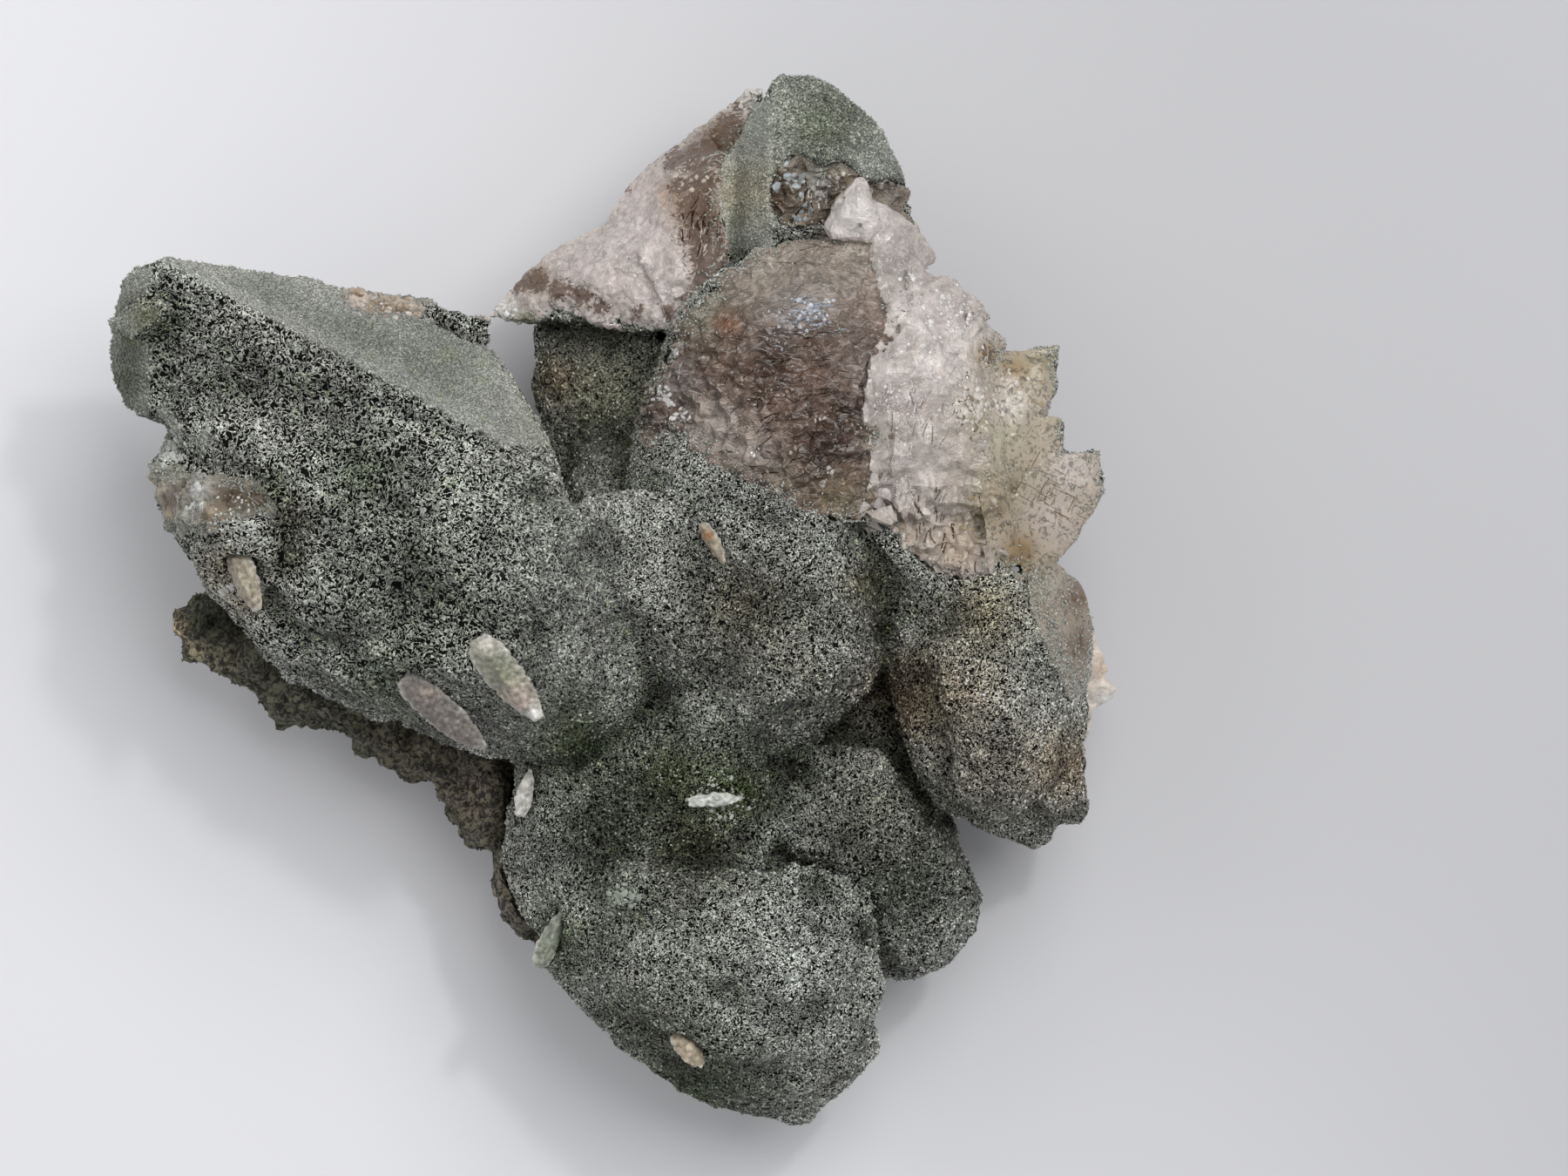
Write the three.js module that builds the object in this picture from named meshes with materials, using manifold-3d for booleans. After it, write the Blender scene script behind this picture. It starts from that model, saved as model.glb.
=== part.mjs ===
// A hand-sized group of quartz crystals, thickly dusted with green chlorite, on its broken bed of rock.
// Millimetres, +Z up. The group rests on the flat cut under its bed. x and y are measured from its middle.
import * as THREE from "three";
import { ConvexGeometry } from "three/addons/geometries/ConvexGeometry.js";
import { mergeVertices } from "three/addons/utils/BufferGeometryUtils.js";
import Module from "manifold-3d";

const wasm = await Module();
wasm.setup();

// Driving dimensions
const SEAM = 0.3; // room left where two minerals meet
const REST_LEVEL = 0; // the plane that the group stands on
const GROUND_DEPTH = 30; // how much is cut away below that plane
const GROUND_REACH = 160;
const LUMP_DETAIL = 2; // how finely a lump of rock is faceted
const CORNER_REACH = 3; // how far a corner moves, in margins, for its faces to move a margin
const MOUND_SIDES = 7;
const MOUND_PROFILE = [
  [1.3, -0.7, -0.7], // a ring's share of the mound's width, its height in rises, and its turn in radians
  [0.92, 0.4, 0.4],
  [0.46, 1, 1],
];
const LUMP_WAVES = [
  // how high each wave of a lump's surface is, and how its two factors run along x, y, z and the lump's turn
  { height: 1, first: [5.1, 2.2, 0, 1.3], second: [0, 4.3, 0, -1] },
  { height: 0.6, first: [3.1, 0, 8.7, 1], second: [7.9, 0, 0, -2] },
  { height: 0.4, first: [0, 13.3, 0, 2], second: [0, 0, 12.1, -1] },
];
const BLADE_PROFILE = [
  [-1, 0.5, 0.5], // a place along a blade, from its blunt head to its foot, and its width and thickness there
  [-0.84, 0.84, 0.9],
  [-0.4, 1, 1],
  [0.2, 0.94, 1],
  [0.68, 0.62, 0.8],
  [1, 0.24, 0.3],
];
const BLADE_RIB = 0.94; // the share of a blade's length that its thick rib takes
const SAME_PLACE = 1e-4; // corners nearer than this are one
const ABOVE_ALL = 100; // a level over the whole group
const BURIED_LEVEL = 15; // crystal corners below this lie hidden in the bed and stay sharp

// Turns a closed geometry into a solid that can be joined and cut.
function solidOf(geometry) {
  const bare = geometry.index ? geometry.toNonIndexed() : geometry.clone();
  bare.deleteAttribute("normal");
  bare.deleteAttribute("uv");
  const merged = mergeVertices(bare, SAME_PLACE);
  return new wasm.Manifold(
    new wasm.Mesh({
      numProp: 3,
      vertProperties: merged.attributes.position.array,
      triVerts: new Uint32Array(merged.index.array),
    }),
  );
}

function middleOf(places) {
  const middle = new THREE.Vector3();
  for (const place of places) middle.addScaledVector(place, 1 / places.length);
  return middle;
}

// The flat-faced solid round a set of places. A margin draws them all out from their middle.
function solidRound(places, margin) {
  const middle = middleOf(places);
  for (const place of places) {
    place.add(place.clone().sub(middle).setLength(margin * CORNER_REACH));
  }
  return solidOf(new ConvexGeometry(places));
}

// A crystal as the flat-faced solid round its corners.
function crystal(corners, margin = 0) {
  return solidRound(
    corners.map(([x, y, z]) => new THREE.Vector3(x, y, z)),
    margin,
  );
}

// A crystal under a thick coat, which rounds off its edges and the corners that show.
function coatedCrystal({ corners, soft }, margin = 0) {
  const places = corners.map(([x, y, z]) => new THREE.Vector3(x, y, z));
  const middle = middleOf(places);
  const ball = new THREE.IcosahedronGeometry(soft, 0).attributes.position;
  const rounded = [];
  for (const place of places) {
    if (place.z < BURIED_LEVEL) {
      rounded.push(place);
      continue;
    }
    const inward = middle.clone().sub(place).setLength(soft);
    for (let i = 0; i < ball.count; i += 1) {
      rounded.push(new THREE.Vector3().fromBufferAttribute(ball, i).add(place).add(inward));
    }
  }
  return solidRound(rounded, margin);
}

// The corners of a six-sided quartz prism with a pyramid at its tip.
function quartzPrism({ foot, tip, across, flat = 1, point = 0.3, roll = 0 }) {
  const start = new THREE.Vector3(...foot);
  const end = new THREE.Vector3(...tip);
  const along = end.clone().sub(start);
  const turn = new THREE.Quaternion().setFromUnitVectors(
    new THREE.Vector3(0, 0, 1),
    along.clone().normalize(),
  );
  const shoulder = start.clone().addScaledVector(along, 1 - point);
  const corners = [tip];
  for (let side = 0; side < 6; side += 1) {
    const angle = (side * Math.PI) / 3 + THREE.MathUtils.degToRad(roll);
    const out = new THREE.Vector3(Math.cos(angle), Math.sin(angle) * flat, 0);
    out.multiplyScalar(across / 2).applyQuaternion(turn);
    corners.push(start.clone().add(out).toArray());
    corners.push(shoulder.clone().add(out).toArray());
  }
  return corners;
}

// The corners of a thin blade that stands at a place, with its head to the back. Turns are in degrees.
function bladeCorners({ at, length, width, thick, heading, lean = 0, pitch = 0 }) {
  const turn = new THREE.Euler(
    THREE.MathUtils.degToRad(lean),
    THREE.MathUtils.degToRad(pitch),
    THREE.MathUtils.degToRad(heading),
    "ZYX",
  );
  const corners = [];
  for (const [share, broad, deep] of BLADE_PROFILE) {
    const local = [
      [(share * length) / 2, (broad * width) / 2, 0],
      [(share * length) / 2, (-broad * width) / 2, 0],
      [(share * length * BLADE_RIB) / 2, 0, (deep * thick) / 2],
      [(share * length * BLADE_RIB) / 2, 0, (-deep * thick) / 2],
    ];
    for (const point of local) {
      const placed = new THREE.Vector3(...point).applyEuler(turn);
      corners.push(placed.add(new THREE.Vector3(...at)).toArray());
    }
  }
  return corners;
}

// The corners of a low mound: many-sided rings that step up and in from the face that it stands on.
function moundCorners({ across, rise, heading }, { point, normal }) {
  const turn = new THREE.Quaternion().setFromUnitVectors(new THREE.Vector3(0, 0, 1), normal);
  const corners = [];
  for (const [share, height, twist] of MOUND_PROFILE) {
    for (let side = 0; side < MOUND_SIDES; side += 1) {
      const angle = (side / MOUND_SIDES) * 2 * Math.PI + twist;
      const local = new THREE.Vector3(
        (Math.cos(angle) * share * across[0]) / 2,
        (Math.sin(angle) * share * across[1]) / 2,
        height * rise,
      );
      local.applyAxisAngle(new THREE.Vector3(0, 0, 1), THREE.MathUtils.degToRad(heading));
      corners.push(local.applyQuaternion(turn).add(point).toArray());
    }
  }
  return corners;
}

// A rounded, knobbly lump of rock. Its surface waves in and out by a share of its size.
function lump({ at, radii, rough = 0.12, turn = 0 }, margin = 0) {
  const geometry = new THREE.IcosahedronGeometry(1, LUMP_DETAIL);
  const place = geometry.attributes.position;
  const v = new THREE.Vector3();
  for (let i = 0; i < place.count; i += 1) {
    v.fromBufferAttribute(place, i).normalize();
    const along = ([x, y, z, turns]) => x * v.x + y * v.y + z * v.z + turns * turn;
    let wave = 0;
    for (const { height, first, second } of LUMP_WAVES) {
      wave += height * Math.sin(along(first)) * Math.sin(along(second));
    }
    const grow = 1 + rough * wave;
    v.set(
      v.x * (radii[0] * grow + margin),
      v.y * (radii[1] * grow + margin),
      v.z * (radii[2] * grow + margin),
    );
    place.setXYZ(i, v.x + at[0], v.y + at[1], v.z + at[2]);
  }
  return solidOf(geometry);
}

function joined(solids) {
  return solids.reduce((sum, next) => sum.add(next));
}

// Keeps the largest body, so that a cut leaves no loose crumbs.
function largest(solid) {
  return solid.decompose().reduce((a, b) => (a.volume() > b.volume() ? a : b));
}

function geometryOf(solid) {
  const mesh = solid.getMesh();
  const geometry = new THREE.BufferGeometry();
  geometry.setAttribute("position", new THREE.BufferAttribute(mesh.vertProperties, 3));
  geometry.setIndex(new THREE.BufferAttribute(mesh.triVerts, 1));
  return geometry;
}

// A flat face through three places. It gives the corner of the face above any other place.
function flatFace(a, b, c) {
  const plane = new THREE.Plane().setFromCoplanarPoints(
    new THREE.Vector3(...a),
    new THREE.Vector3(...b),
    new THREE.Vector3(...c),
  );
  const { normal, constant } = plane;
  return (x, y) => [x, y, -(constant + normal.x * x + normal.y * y) / normal.z];
}

// The great crystal across the left: its tip, the ridge that runs down from it, and the faces on both sides.
const GREAT_TIP = [-44.5, 33.5, 33];
const GREAT_RIDGE_END = [-5.4, 12.4, 42];
const greatFront = flatFace(GREAT_TIP, GREAT_RIDGE_END, [-45.2, 17.5, 27.5]);
const greatSide = flatFace(GREAT_TIP, GREAT_RIDGE_END, [-28.4, 31.4, 24]);
const greatEnd = flatFace(greatFront(-45.3, 25.0), greatFront(-45.2, 17.9), [-49.7, 25.0, 19.5]);
const GREAT_CRYSTAL = [
  GREAT_TIP,
  GREAT_RIDGE_END,
  greatSide(-28.4, 31.4),
  greatSide(-42.4, 33.5),
  greatSide(-12.2, 24.9),
  greatSide(-8.8, 20.4),
  greatSide(-5.6, 15.2),
  greatEnd(-49.7, 25.0),
  greatEnd(-49.3, 21.3),
  greatEnd(-48.1, 19.0),
  [-48.5, 30.7, 25],
  [-47.0, 32.4, 29],
  greatFront(-45.3, 25.0),
  greatFront(-45.2, 17.9),
  greatFront(-34.3, 17.0),
  greatFront(-21.6, 15.0),
  greatFront(-4.0, 9.0),
  [-43.0, 24.0, 13], // underside
  [-38.0, 17.0, 11],
  [-24.0, 24.0, 10],
  [-8.0, 16.5, 10],
  [-8.0, 4.0, 12],
];
// The same crystal's lower side, which swells out past a step, and its blunt foot over the saddle.
const bellyFront = flatFace([-37.0, 9.5, 34], [-7.0, 8.0, 43.5], [-21.0, -5.5, 36]);
const GREAT_CRYSTAL_BELLY = [
  [-43.6, 14.6, 27],
  [-34.0, 14.6, 34],
  bellyFront(-37.0, 9.5),
  bellyFront(-22.0, 12.6),
  bellyFront(-7.0, 8.0),
  bellyFront(-30.6, 0.6),
  bellyFront(-21.0, -5.5),
  bellyFront(-9.0, -7.0),
  [-2.0, 7.6, 42.6],
  [-44.4, 11.1, 23],
  [-42.2, 5.2, 21],
  [-39.4, 0.4, 20],
  [-31.8, -7.6, 18.5],
  [-21.6, -11.8, 20],
  [-40.0, 10.0, 13],
  [-30.0, -3.0, 12],
  [-14.0, -9.0, 12],
  [-4.0, 6.0, 12],
];
const GREAT_CRYSTAL_STEP = [
  greatFront(-44.0, 18.8),
  greatFront(-34.3, 20.6),
  greatFront(-21.6, 18.4),
  greatFront(-7.0, 12.6),
  [-41.5, 14.0, 29.0],
  [-34.0, 13.4, 35.0],
  [-22.0, 11.6, 39.0],
  [-9.0, 7.8, 42.4],
  [-38.0, 15.0, 22],
  [-22.0, 13.0, 26],
  [-9.0, 9.0, 30],
];
const GREAT_CRYSTAL_FOOT = [
  [-2.0, 5.0, 41],
  [3.4, -3.2, 35.5],
  [5.1, -8.8, 30],
  [3.2, -12.7, 27],
  [-4.6, -15.9, 23.5],
  [-12.2, -15.2, 21],
  [-21.0, -11.5, 21],
  [-18.0, -7.0, 35],
  [-8.8, -9.8, 36.5],
  [-1.0, -7.0, 37.5],
  [-12.0, 4.0, 42],
  [-16.0, -8.0, 14],
  [0.0, -9.0, 16],
];

// The other coated crystals. Corners go round the upper side first, and the hidden underside comes last.
const CENTRE_CRYSTAL = [
  [7.0, 12.0, 38.5],
  [12.4, 6.2, 40.5],
  [20.2, 5.4, 40],
  [21.8, -4.2, 38],
  [14.1, -9.3, 37],
  [6.5, -4.2, 37.5],
  [24.0, 5.2, 35],
  [25.9, -2.9, 31],
  [25.3, -8.4, 27],
  [21.3, -12.2, 25],
  [15.0, -16.7, 22.5],
  [8.2, -16.9, 23],
  [4.6, -11.8, 27],
  [1.2, 4.3, 34],
  [1.6, 14.3, 30.5],
  [4.0, 22.0, 29.5],
  [6.8, 28.4, 29.5],
  [13.9, 33.8, 30],
  [23.7, 36.0, 29],
  [27.5, 32.0, 26],
  [3.0, 20.0, 10],
  [14.0, 31.0, 10],
  [26.0, 20.0, 10],
  [24.0, -6.0, 10],
  [12.0, -13.0, 10],
  [2.0, -6.0, 10],
];
const RECESSED_CRYSTAL = [
  [-8.1, 27.1, 15],
  [-5.4, 28.8, 17],
  [4.9, 25.9, 21],
  [2.6, 17.1, 24],
  [-0.3, 11.1, 22],
  [-6.0, 13.0, 17],
  [-8.3, 21.0, 13],
  [-6.6, 26.5, 4],
  [-7.0, 20.0, 3],
  [3.0, 24.0, 3],
  [0.0, 10.0, 3],
];
const BRIDGE_CRYSTAL = [
  [-28.2, 31.2, 22],
  [-25.4, 30.3, 22.5],
  [-18.0, 29.2, 22.5],
  [-11.9, 27.9, 20.5],
  [-12.0, 25.6, 18],
  [-12.9, 23.4, 16],
  [-14.8, 24.4, 20],
  [-24.0, 27.0, 22],
  [-13.2, 27.0, 13.5],
  [-13.6, 23.6, 13],
  [-25.0, 28.5, 15],
  [-24.0, 24.0, 14],
];
const TOP_CRYSTAL = [
  [15.8, 51.7, 25],
  [20.1, 51.3, 24.5],
  [24.3, 48.1, 24],
  [26.7, 46.0, 22],
  [28.6, 42.2, 20],
  [29.6, 36.5, 18],
  [15.0, 42.6, 31.5],
  [21.8, 43.6, 31.5],
  [26.2, 40.8, 28],
  [24.0, 36.0, 29],
  [15.4, 34.4, 29.5],
  [12.0, 32.0, 26],
  [10.4, 37.5, 23],
  [11.2, 43.4, 22.5],
  [13.7, 48.6, 22.5],
  [14.0, 44.0, 9],
  [24.0, 43.0, 9],
  [26.0, 30.0, 9],
  [13.0, 30.0, 9],
];
const RIGHT_COLLAR = [
  [23.9, 5.8, 32],
  [23.9, 2.8, 31.5],
  [26.9, -0.4, 30.5],
  [31.4, -4.4, 30.5],
  [36.2, -0.8, 33.5],
  [40.4, 2.6, 31.5],
  [33.7, 3.6, 34.5],
  [28.6, 4.4, 34],
  [27.0, 2.0, 14],
  [33.0, -2.0, 12],
  [41.0, 2.0, 12],
];
const RIGHT_CRYSTAL = [
  [31.2, -3.4, 31.8],
  [36.4, 1.0, 34.2],
  [41.2, 1.4, 32],
  [36.8, -3.4, 35.6],
  [42.4, -7.6, 32],
  [32.4, -8.4, 34.2],
  [38.2, -9.0, 35.6],
  [33.6, -14.4, 32.8],
  [38.8, -14.6, 34.0],
  [42.4, -15.6, 30.0],
  [34.8, -19.4, 30.4],
  [38.6, -20.0, 30.6],
  [36.2, -22.2, 24.5],
  [41.6, -18.6, 27.6],
  [42.6, 3.9, 27],
  [45.6, 1.6, 23],
  [46.4, -1.6, 21],
  [45.4, -9.3, 23.5],
  [46.0, -14.0, 21],
  [30.6, -8.0, 18],
  [31.6, -16.0, 17],
  [44.0, -1.0, 10],
  [44.0, -16.0, 10],
  [33.0, -19.0, 10],
  [29.0, -2.0, 10],
];
const RIGHT_OUTER_LOBE = [
  [45.2, -11.8, 22],
  [46.4, -15.2, 20],
  [46.8, -20.9, 16],
  [45.9, -22.2, 14.5],
  [43.6, -22.4, 15],
  [41.0, -19.0, 24],
  [42.6, -13.0, 28],
  [42.0, -12.0, 10],
  [45.0, -19.0, 9],
  [40.0, -18.0, 9],
];
const RIGHT_LOWER_LOBE = [
  [34.4, -21.6, 18],
  [36.0, -22.3, 14],
  [41.7, -25.0, 12.5],
  [43.4, -23.4, 13],
  [44.2, -20.6, 16],
  [40.0, -18.6, 21],
  [36.0, -17.0, 10],
  [42.0, -22.0, 8],
];
const DARK_CRYSTAL = [
  [16.0, -14.0, 23],
  [24.6, -14.5, 24.5],
  [25.2, -18.5, 26],
  [30.3, -22.5, 25],
  [34.2, -27.1, 22],
  [33.2, -22.4, 18],
  [35.2, -26.3, 16.5],
  [36.4, -29.8, 14.5],
  [35.9, -32.6, 13.5],
  [33.7, -35.8, 12.5],
  [28.6, -37.8, 12],
  [26.3, -37.4, 13],
  [28.6, -31.4, 22],
  [21.8, -25.4, 25],
  [16.0, -22.0, 24],
  [18.0, -16.0, 6],
  [30.0, -18.0, 6],
  [33.0, -32.0, 7],
  [26.0, -34.0, 7],
  [16.0, -26.0, 6],
];
const BOTTOM_CRYSTAL = [
  [1.4, -26.0, 28],
  [12.4, -30.6, 32],
  [19.4, -26.8, 31],
  [25.4, -32.6, 27.5],
  [26.7, -37.3, 24],
  [25.2, -42.8, 21],
  [23.0, -47.5, 17],
  [19.2, -51.8, 12.5],
  [11.6, -51.0, 11.5],
  [7.3, -49.0, 13],
  [-0.3, -43.3, 16],
  [-5.4, -37.3, 18.5],
  [-7.8, -33.6, 20],
  [-5.0, -29.0, 24],
  [3.6, -36.8, 29.5],
  [9.9, -44.4, 25],
  [20.6, -43.4, 26],
  [0.0, -30.0, 6],
  [22.0, -30.0, 6],
  [22.0, -41.0, 7],
  [14.0, -46.0, 7],
  [1.0, -40.0, 7],
];
const SADDLE = [
  [-8.8, -15.0, 23],
  [-11.0, -20.3, 19],
  [-11.2, -26.3, 17],
  [-9.7, -30.5, 17.5],
  [-6.8, -33.0, 19.5],
  [-3.7, -30.4, 25],
  [-4.6, -17.0, 25.5],
  [8.2, -18.5, 25.5],
  [16.7, -21.5, 25],
  [12.0, -30.0, 27],
  [-7.0, -16.0, 5],
  [-8.0, -28.0, 5],
  [0.0, -36.0, 5],
  [18.0, -28.0, 5],
  [22.0, -14.0, 5],
];

// Where neighbouring crystals have grown into each other, the coat runs on from one to the next.
const GREAT_TO_CENTRE = [
  [-3.0, 9.5, 41.0],
  [2.0, 11.0, 37.0],
  [7.5, 9.0, 38.2],
  [-1.5, 4.5, 40.4],
  [3.0, 2.0, 38.2],
  [8.4, 1.0, 38.4],
  [3.8, -4.5, 35.8],
  [8.2, -5.5, 36.6],
  [5.8, -10.5, 30.0],
  [9.0, -12.5, 28.8],
  [0.0, 8.0, 20],
  [4.0, -8.0, 18],
  [9.0, 4.0, 20],
];
const CENTRE_TO_SADDLE = [
  [6.2, -8.4, 32.0],
  [9.4, -7.6, 34.2],
  [13.4, -10.8, 31.4],
  [4.4, -13.6, 27.8],
  [15.8, -19.0, 24.8],
  [11.0, -26.0, 25.6],
  [2.0, -26.0, 25.4],
  [-5.6, -19.4, 24.6],
  [0.0, -12.0, 15],
  [11.0, -14.0, 15],
  [4.0, -20.0, 15],
];
const RIGHT_CRYSTAL_FLANK = [
  [25.2, 1.6, 29.4],
  [31.0, -3.8, 30.2],
  [34.0, -7.6, 32.4],
  [32.4, -13.6, 28.6],
  [31.8, -18.4, 23.5],
  [26.4, -3.0, 24.6],
  [27.4, -8.6, 22.0],
  [28.8, -13.6, 20.0],
  [27.0, 0.0, 12],
  [28.4, -12.0, 12],
  [33.0, -10.0, 12],
];

// Smaller crystals in parallel position on the big ones: a tab, steps and blunt ends.
const COATED_GROWTHS = [
  [
    [-49.6, 27.8, 25], // tab at the great crystal's end
    [-49.2, 26.2, 24.5],
    [-46.0, 29.4, 33],
    [-42.6, 29.0, 35.6],
    [-43.2, 27.2, 35.4],
    [-46.4, 25.4, 31.5],
    [-43.0, 27.0, 28],
  ],
  quartzPrism({ foot: [-30, 12, 26], tip: [-45.6, 13.6, 22.5], across: 12, flat: 0.9, point: 0.2, roll: 0 }),
  [
    [28.6, -9.6, 27.0], // lobe at the right crystal's inner side
    [31.8, -10.0, 28.8],
    [29.0, -14.6, 27.2],
    [33.2, -13.6, 30.0],
    [30.4, -18.2, 24.8],
    [33.6, -18.6, 26.8],
    [32.2, -20.6, 22.5],
    [34.2, -21.4, 22.0],
    [27.4, -9.4, 21],
    [29.6, -17.4, 16],
    [30.0, -9.0, 12],
    [33.0, -20.0, 12],
  ],
  quartzPrism({ foot: [24, -12, 14], tip: [31.0, -36.8, 17], across: 13, flat: 0.9, point: 0.16, roll: 15 }),
  quartzPrism({ foot: [6, -22, 18], tip: [5.2, -45.4, 17], across: 15, flat: 0.9, point: 0.14, roll: 20 }),
  quartzPrism({ foot: [14, -26, 18], tip: [21.4, -49.6, 15.5], across: 13, flat: 0.9, point: 0.14, roll: 8 }),
  quartzPrism({ foot: [10, -16, 16], tip: [-9.8, -24.6, 20], across: 12, flat: 0.9, point: 0.16, roll: 25 }),
];

// Low mounds that swell out of the coated faces: their place, both widths, height over the face and heading.
const MOUNDS = [
  { at: [-24.6, 3.4], across: [15, 12], rise: 1.3, heading: 20 }, // on the great crystal
  { at: [-11.4, 3.6], across: [16, 10], rise: 0.8, heading: -20 },
  { at: [-32.6, -3.0], across: [11, 7], rise: 1.6, heading: -32 },
  { at: [-24.6, -7.0], across: [9, 6], rise: 1.4, heading: -24 },
  { at: [-17.4, -9.4], across: [8, 5], rise: 1.0, heading: -20 },
  { at: [18.0, -4.6], across: [11, 9], rise: 1.1, heading: 30 }, // on the centre crystal
  { at: [18.4, -33.0], across: [14, 13], rise: 1.6, heading: 35 }, // on the bottom crystal
  { at: [7.2, -32.6], across: [11, 9], rise: 1.0, heading: 10 },
  { at: [1.2, -28.2], across: [5.6, 5.0], rise: 1.9, heading: 0 },
  { at: [10.0, -41.6], across: [13, 7], rise: 0.9, heading: -28 },
];
// Coated filling deep between the crystals.
const COATED_FILL = [
  { at: [-0.6, 6.4, 20], radii: [6, 10, 9], rough: 0.06, turn: 1.1 },
  { at: [3.0, -17.0, 16], radii: [13, 7, 9.5], rough: 0.05, turn: 2.3 },
  { at: [26.0, -8.0, 14], radii: [7, 9, 6], rough: 0.06, turn: 3.4 },
];

// The bare quartz, where the coating is missing or the crystal is broken.
const SMOKY_CORE = [
  [2.4, 15.6, 32],
  [4.8, 12.6, 35],
  [10.7, 11.8, 39.5],
  [17.1, 7.7, 41],
  [25.2, 7.4, 37],
  [27.6, 15.4, 36],
  [28.6, 28.1, 35.5],
  [27.6, 34.0, 33],
  [23.9, 36.3, 32],
  [14.1, 34.1, 32],
  [6.7, 28.7, 32.2],
  [12.4, 24.7, 39.5],
  [20.1, 30.7, 38],
  [24.3, 22.2, 40],
  [16.7, 14.5, 42.5],
  [8.0, 17.0, 25],
  [24.0, 12.0, 25],
  [25.0, 30.0, 25],
  [12.0, 30.0, 25],
];
const SMOKY_STUB = [
  [15.1, 42.4, 31.8],
  [18.2, 44.2, 32],
  [22.0, 43.2, 32],
  [25.0, 41.4, 30],
  [28.8, 41.6, 22],
  [29.7, 36.4, 20],
  [24.4, 36.4, 30],
  [16.0, 35.9, 30.5],
  [17.0, 41.0, 24],
  [26.0, 39.0, 18],
  [22.0, 35.0, 20],
];
const MILKY_SHOULDER = [
  [29.2, 33.0, 32],
  [33.7, 29.4, 30],
  [38.0, 25.4, 27],
  [27.2, 27.8, 35.6],
  [26.8, 21.4, 37.4],
  [30.3, 24.7, 36.5],
  [34.5, 17.9, 37],
  [27.8, 14.5, 37.5],
  [37.9, 11.1, 34],
  [39.6, 3.5, 31],
  [33.7, 1.4, 33],
  [28.6, 2.2, 34],
  [25.2, 6.2, 35],
  [27.0, 33.0, 14],
  [36.0, 24.0, 13],
  [40.0, 8.0, 14],
  [28.0, 4.0, 18],
];
const MILKY_SHARDS = [
  [
    [20.9, 36.4, 33], // tall splinter over the broken end of the top crystal
    [21.4, 35.3, 34],
    [23.9, 40.8, 34.5],
    [25.6, 36.6, 34],
    [24.6, 34.6, 35],
    [23.2, 35.6, 27],
  ],
  [
    [25.2, 38.6, 32],
    [26.4, 37.6, 32.5],
    [29.5, 36.4, 30],
    [31.4, 33.0, 29],
    [28.0, 31.8, 34],
    [24.4, 34.0, 34],
    [27.0, 33.0, 22],
  ],
  [
    [29.0, 32.0, 33], // blocky chips down the outer edge
    [33.0, 31.2, 31],
    [36.6, 27.6, 29],
    [33.0, 24.0, 34],
    [30.0, 26.0, 25],
  ],
];
const STEPPED_BLOCKS = [
  [
    [37.2, 24.3, 28],
    [43.3, 24.9, 27],
    [43.2, 20.4, 26.5],
    [38.6, 15.4, 30.5],
    [35.8, 18.4, 31.5],
    [39.0, 23.4, 18],
    [42.6, 24.0, 19],
    [42.4, 18.0, 18],
    [37.0, 16.0, 18],
  ],
  [
    [38.4, 18.3, 30],
    [43.8, 17.9, 27],
    [44.0, 12.6, 26.5],
    [38.0, 8.0, 31],
    [36.0, 13.0, 32],
    [43.2, 17.4, 17],
    [43.4, 12.0, 16],
    [37.0, 10.0, 17],
  ],
  [
    [43.0, 14.2, 28],
    [47.4, 14.8, 26],
    [47.9, 10.7, 25],
    [44.1, 4.6, 26],
    [40.2, 2.2, 29],
    [37.4, 7.6, 32],
    [40.0, 12.4, 31.5],
    [46.8, 14.2, 17.5],
    [47.0, 10.4, 16],
    [43.0, 5.0, 16],
    [38.0, 6.0, 17],
  ],
];
const MILKY_WALL = [
  [
    [-12.5, 28.2, 17],
    [-8.8, 32.4, 16.5],
    [-5.4, 34.6, 16.5],
    [-0.3, 37.9, 16],
    [3.9, 36.0, 24.5],
    [-0.3, 31.5, 24],
    [5.8, 26.4, 27],
    [-0.3, 27.0, 23],
    [-5.4, 28.9, 20.5],
    [-8.6, 27.4, 18],
    [-10.0, 28.6, 13.5],
    [-4.0, 31.0, 10],
    [4.0, 28.0, 9],
    [2.0, 34.0, 10],
  ],
  [
    [-0.6, 37.7, 16.5],
    [1.5, 41.2, 15.5],
    [3.6, 43.4, 15],
    [8.2, 46.8, 14.5],
    [11.0, 43.6, 24.5],
    [10.4, 37.5, 26],
    [11.2, 33.0, 28],
    [6.0, 27.0, 27.5],
    [2.4, 34.0, 25],
    [4.0, 41.0, 9],
    [10.0, 42.0, 8],
    [9.0, 30.0, 8],
    [1.0, 34.0, 9],
  ],
  [
    [8.0, 46.6, 15], // thin torn edge behind the top crystal
    [13.2, 50.8, 13.5],
    [15.0, 51.0, 13.5],
    [14.0, 47.0, 17],
    [10.8, 43.4, 20],
    [10.0, 42.0, 9],
    [14.0, 46.0, 8],
  ],
];
const REAR_SHARDS = [
  [
    [44.8, 1.0, 15],
    [47.4, -3.3, 13.5],
    [48.8, -6.8, 12.5],
    [46.6, -10.4, 13],
    [43.6, -5.0, 17],
    [43.0, -2.0, 6],
    [45.0, -8.0, 5],
  ],
  [
    [46.4, -5.4, 13],
    [49.7, -8.6, 12],
    [49.4, -9.6, 10.5],
    [47.0, -11.0, 12],
    [44.8, -8.0, 15],
    [45.0, -9.0, 6],
  ],
  [
    [45.4, -8.8, 14],
    [47.4, -11.4, 11.5],
    [46.8, -13.8, 10.5],
    [44.8, -11.6, 13],
    [43.8, -9.0, 7],
    [45.0, -12.6, 5],
  ],
];
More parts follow.
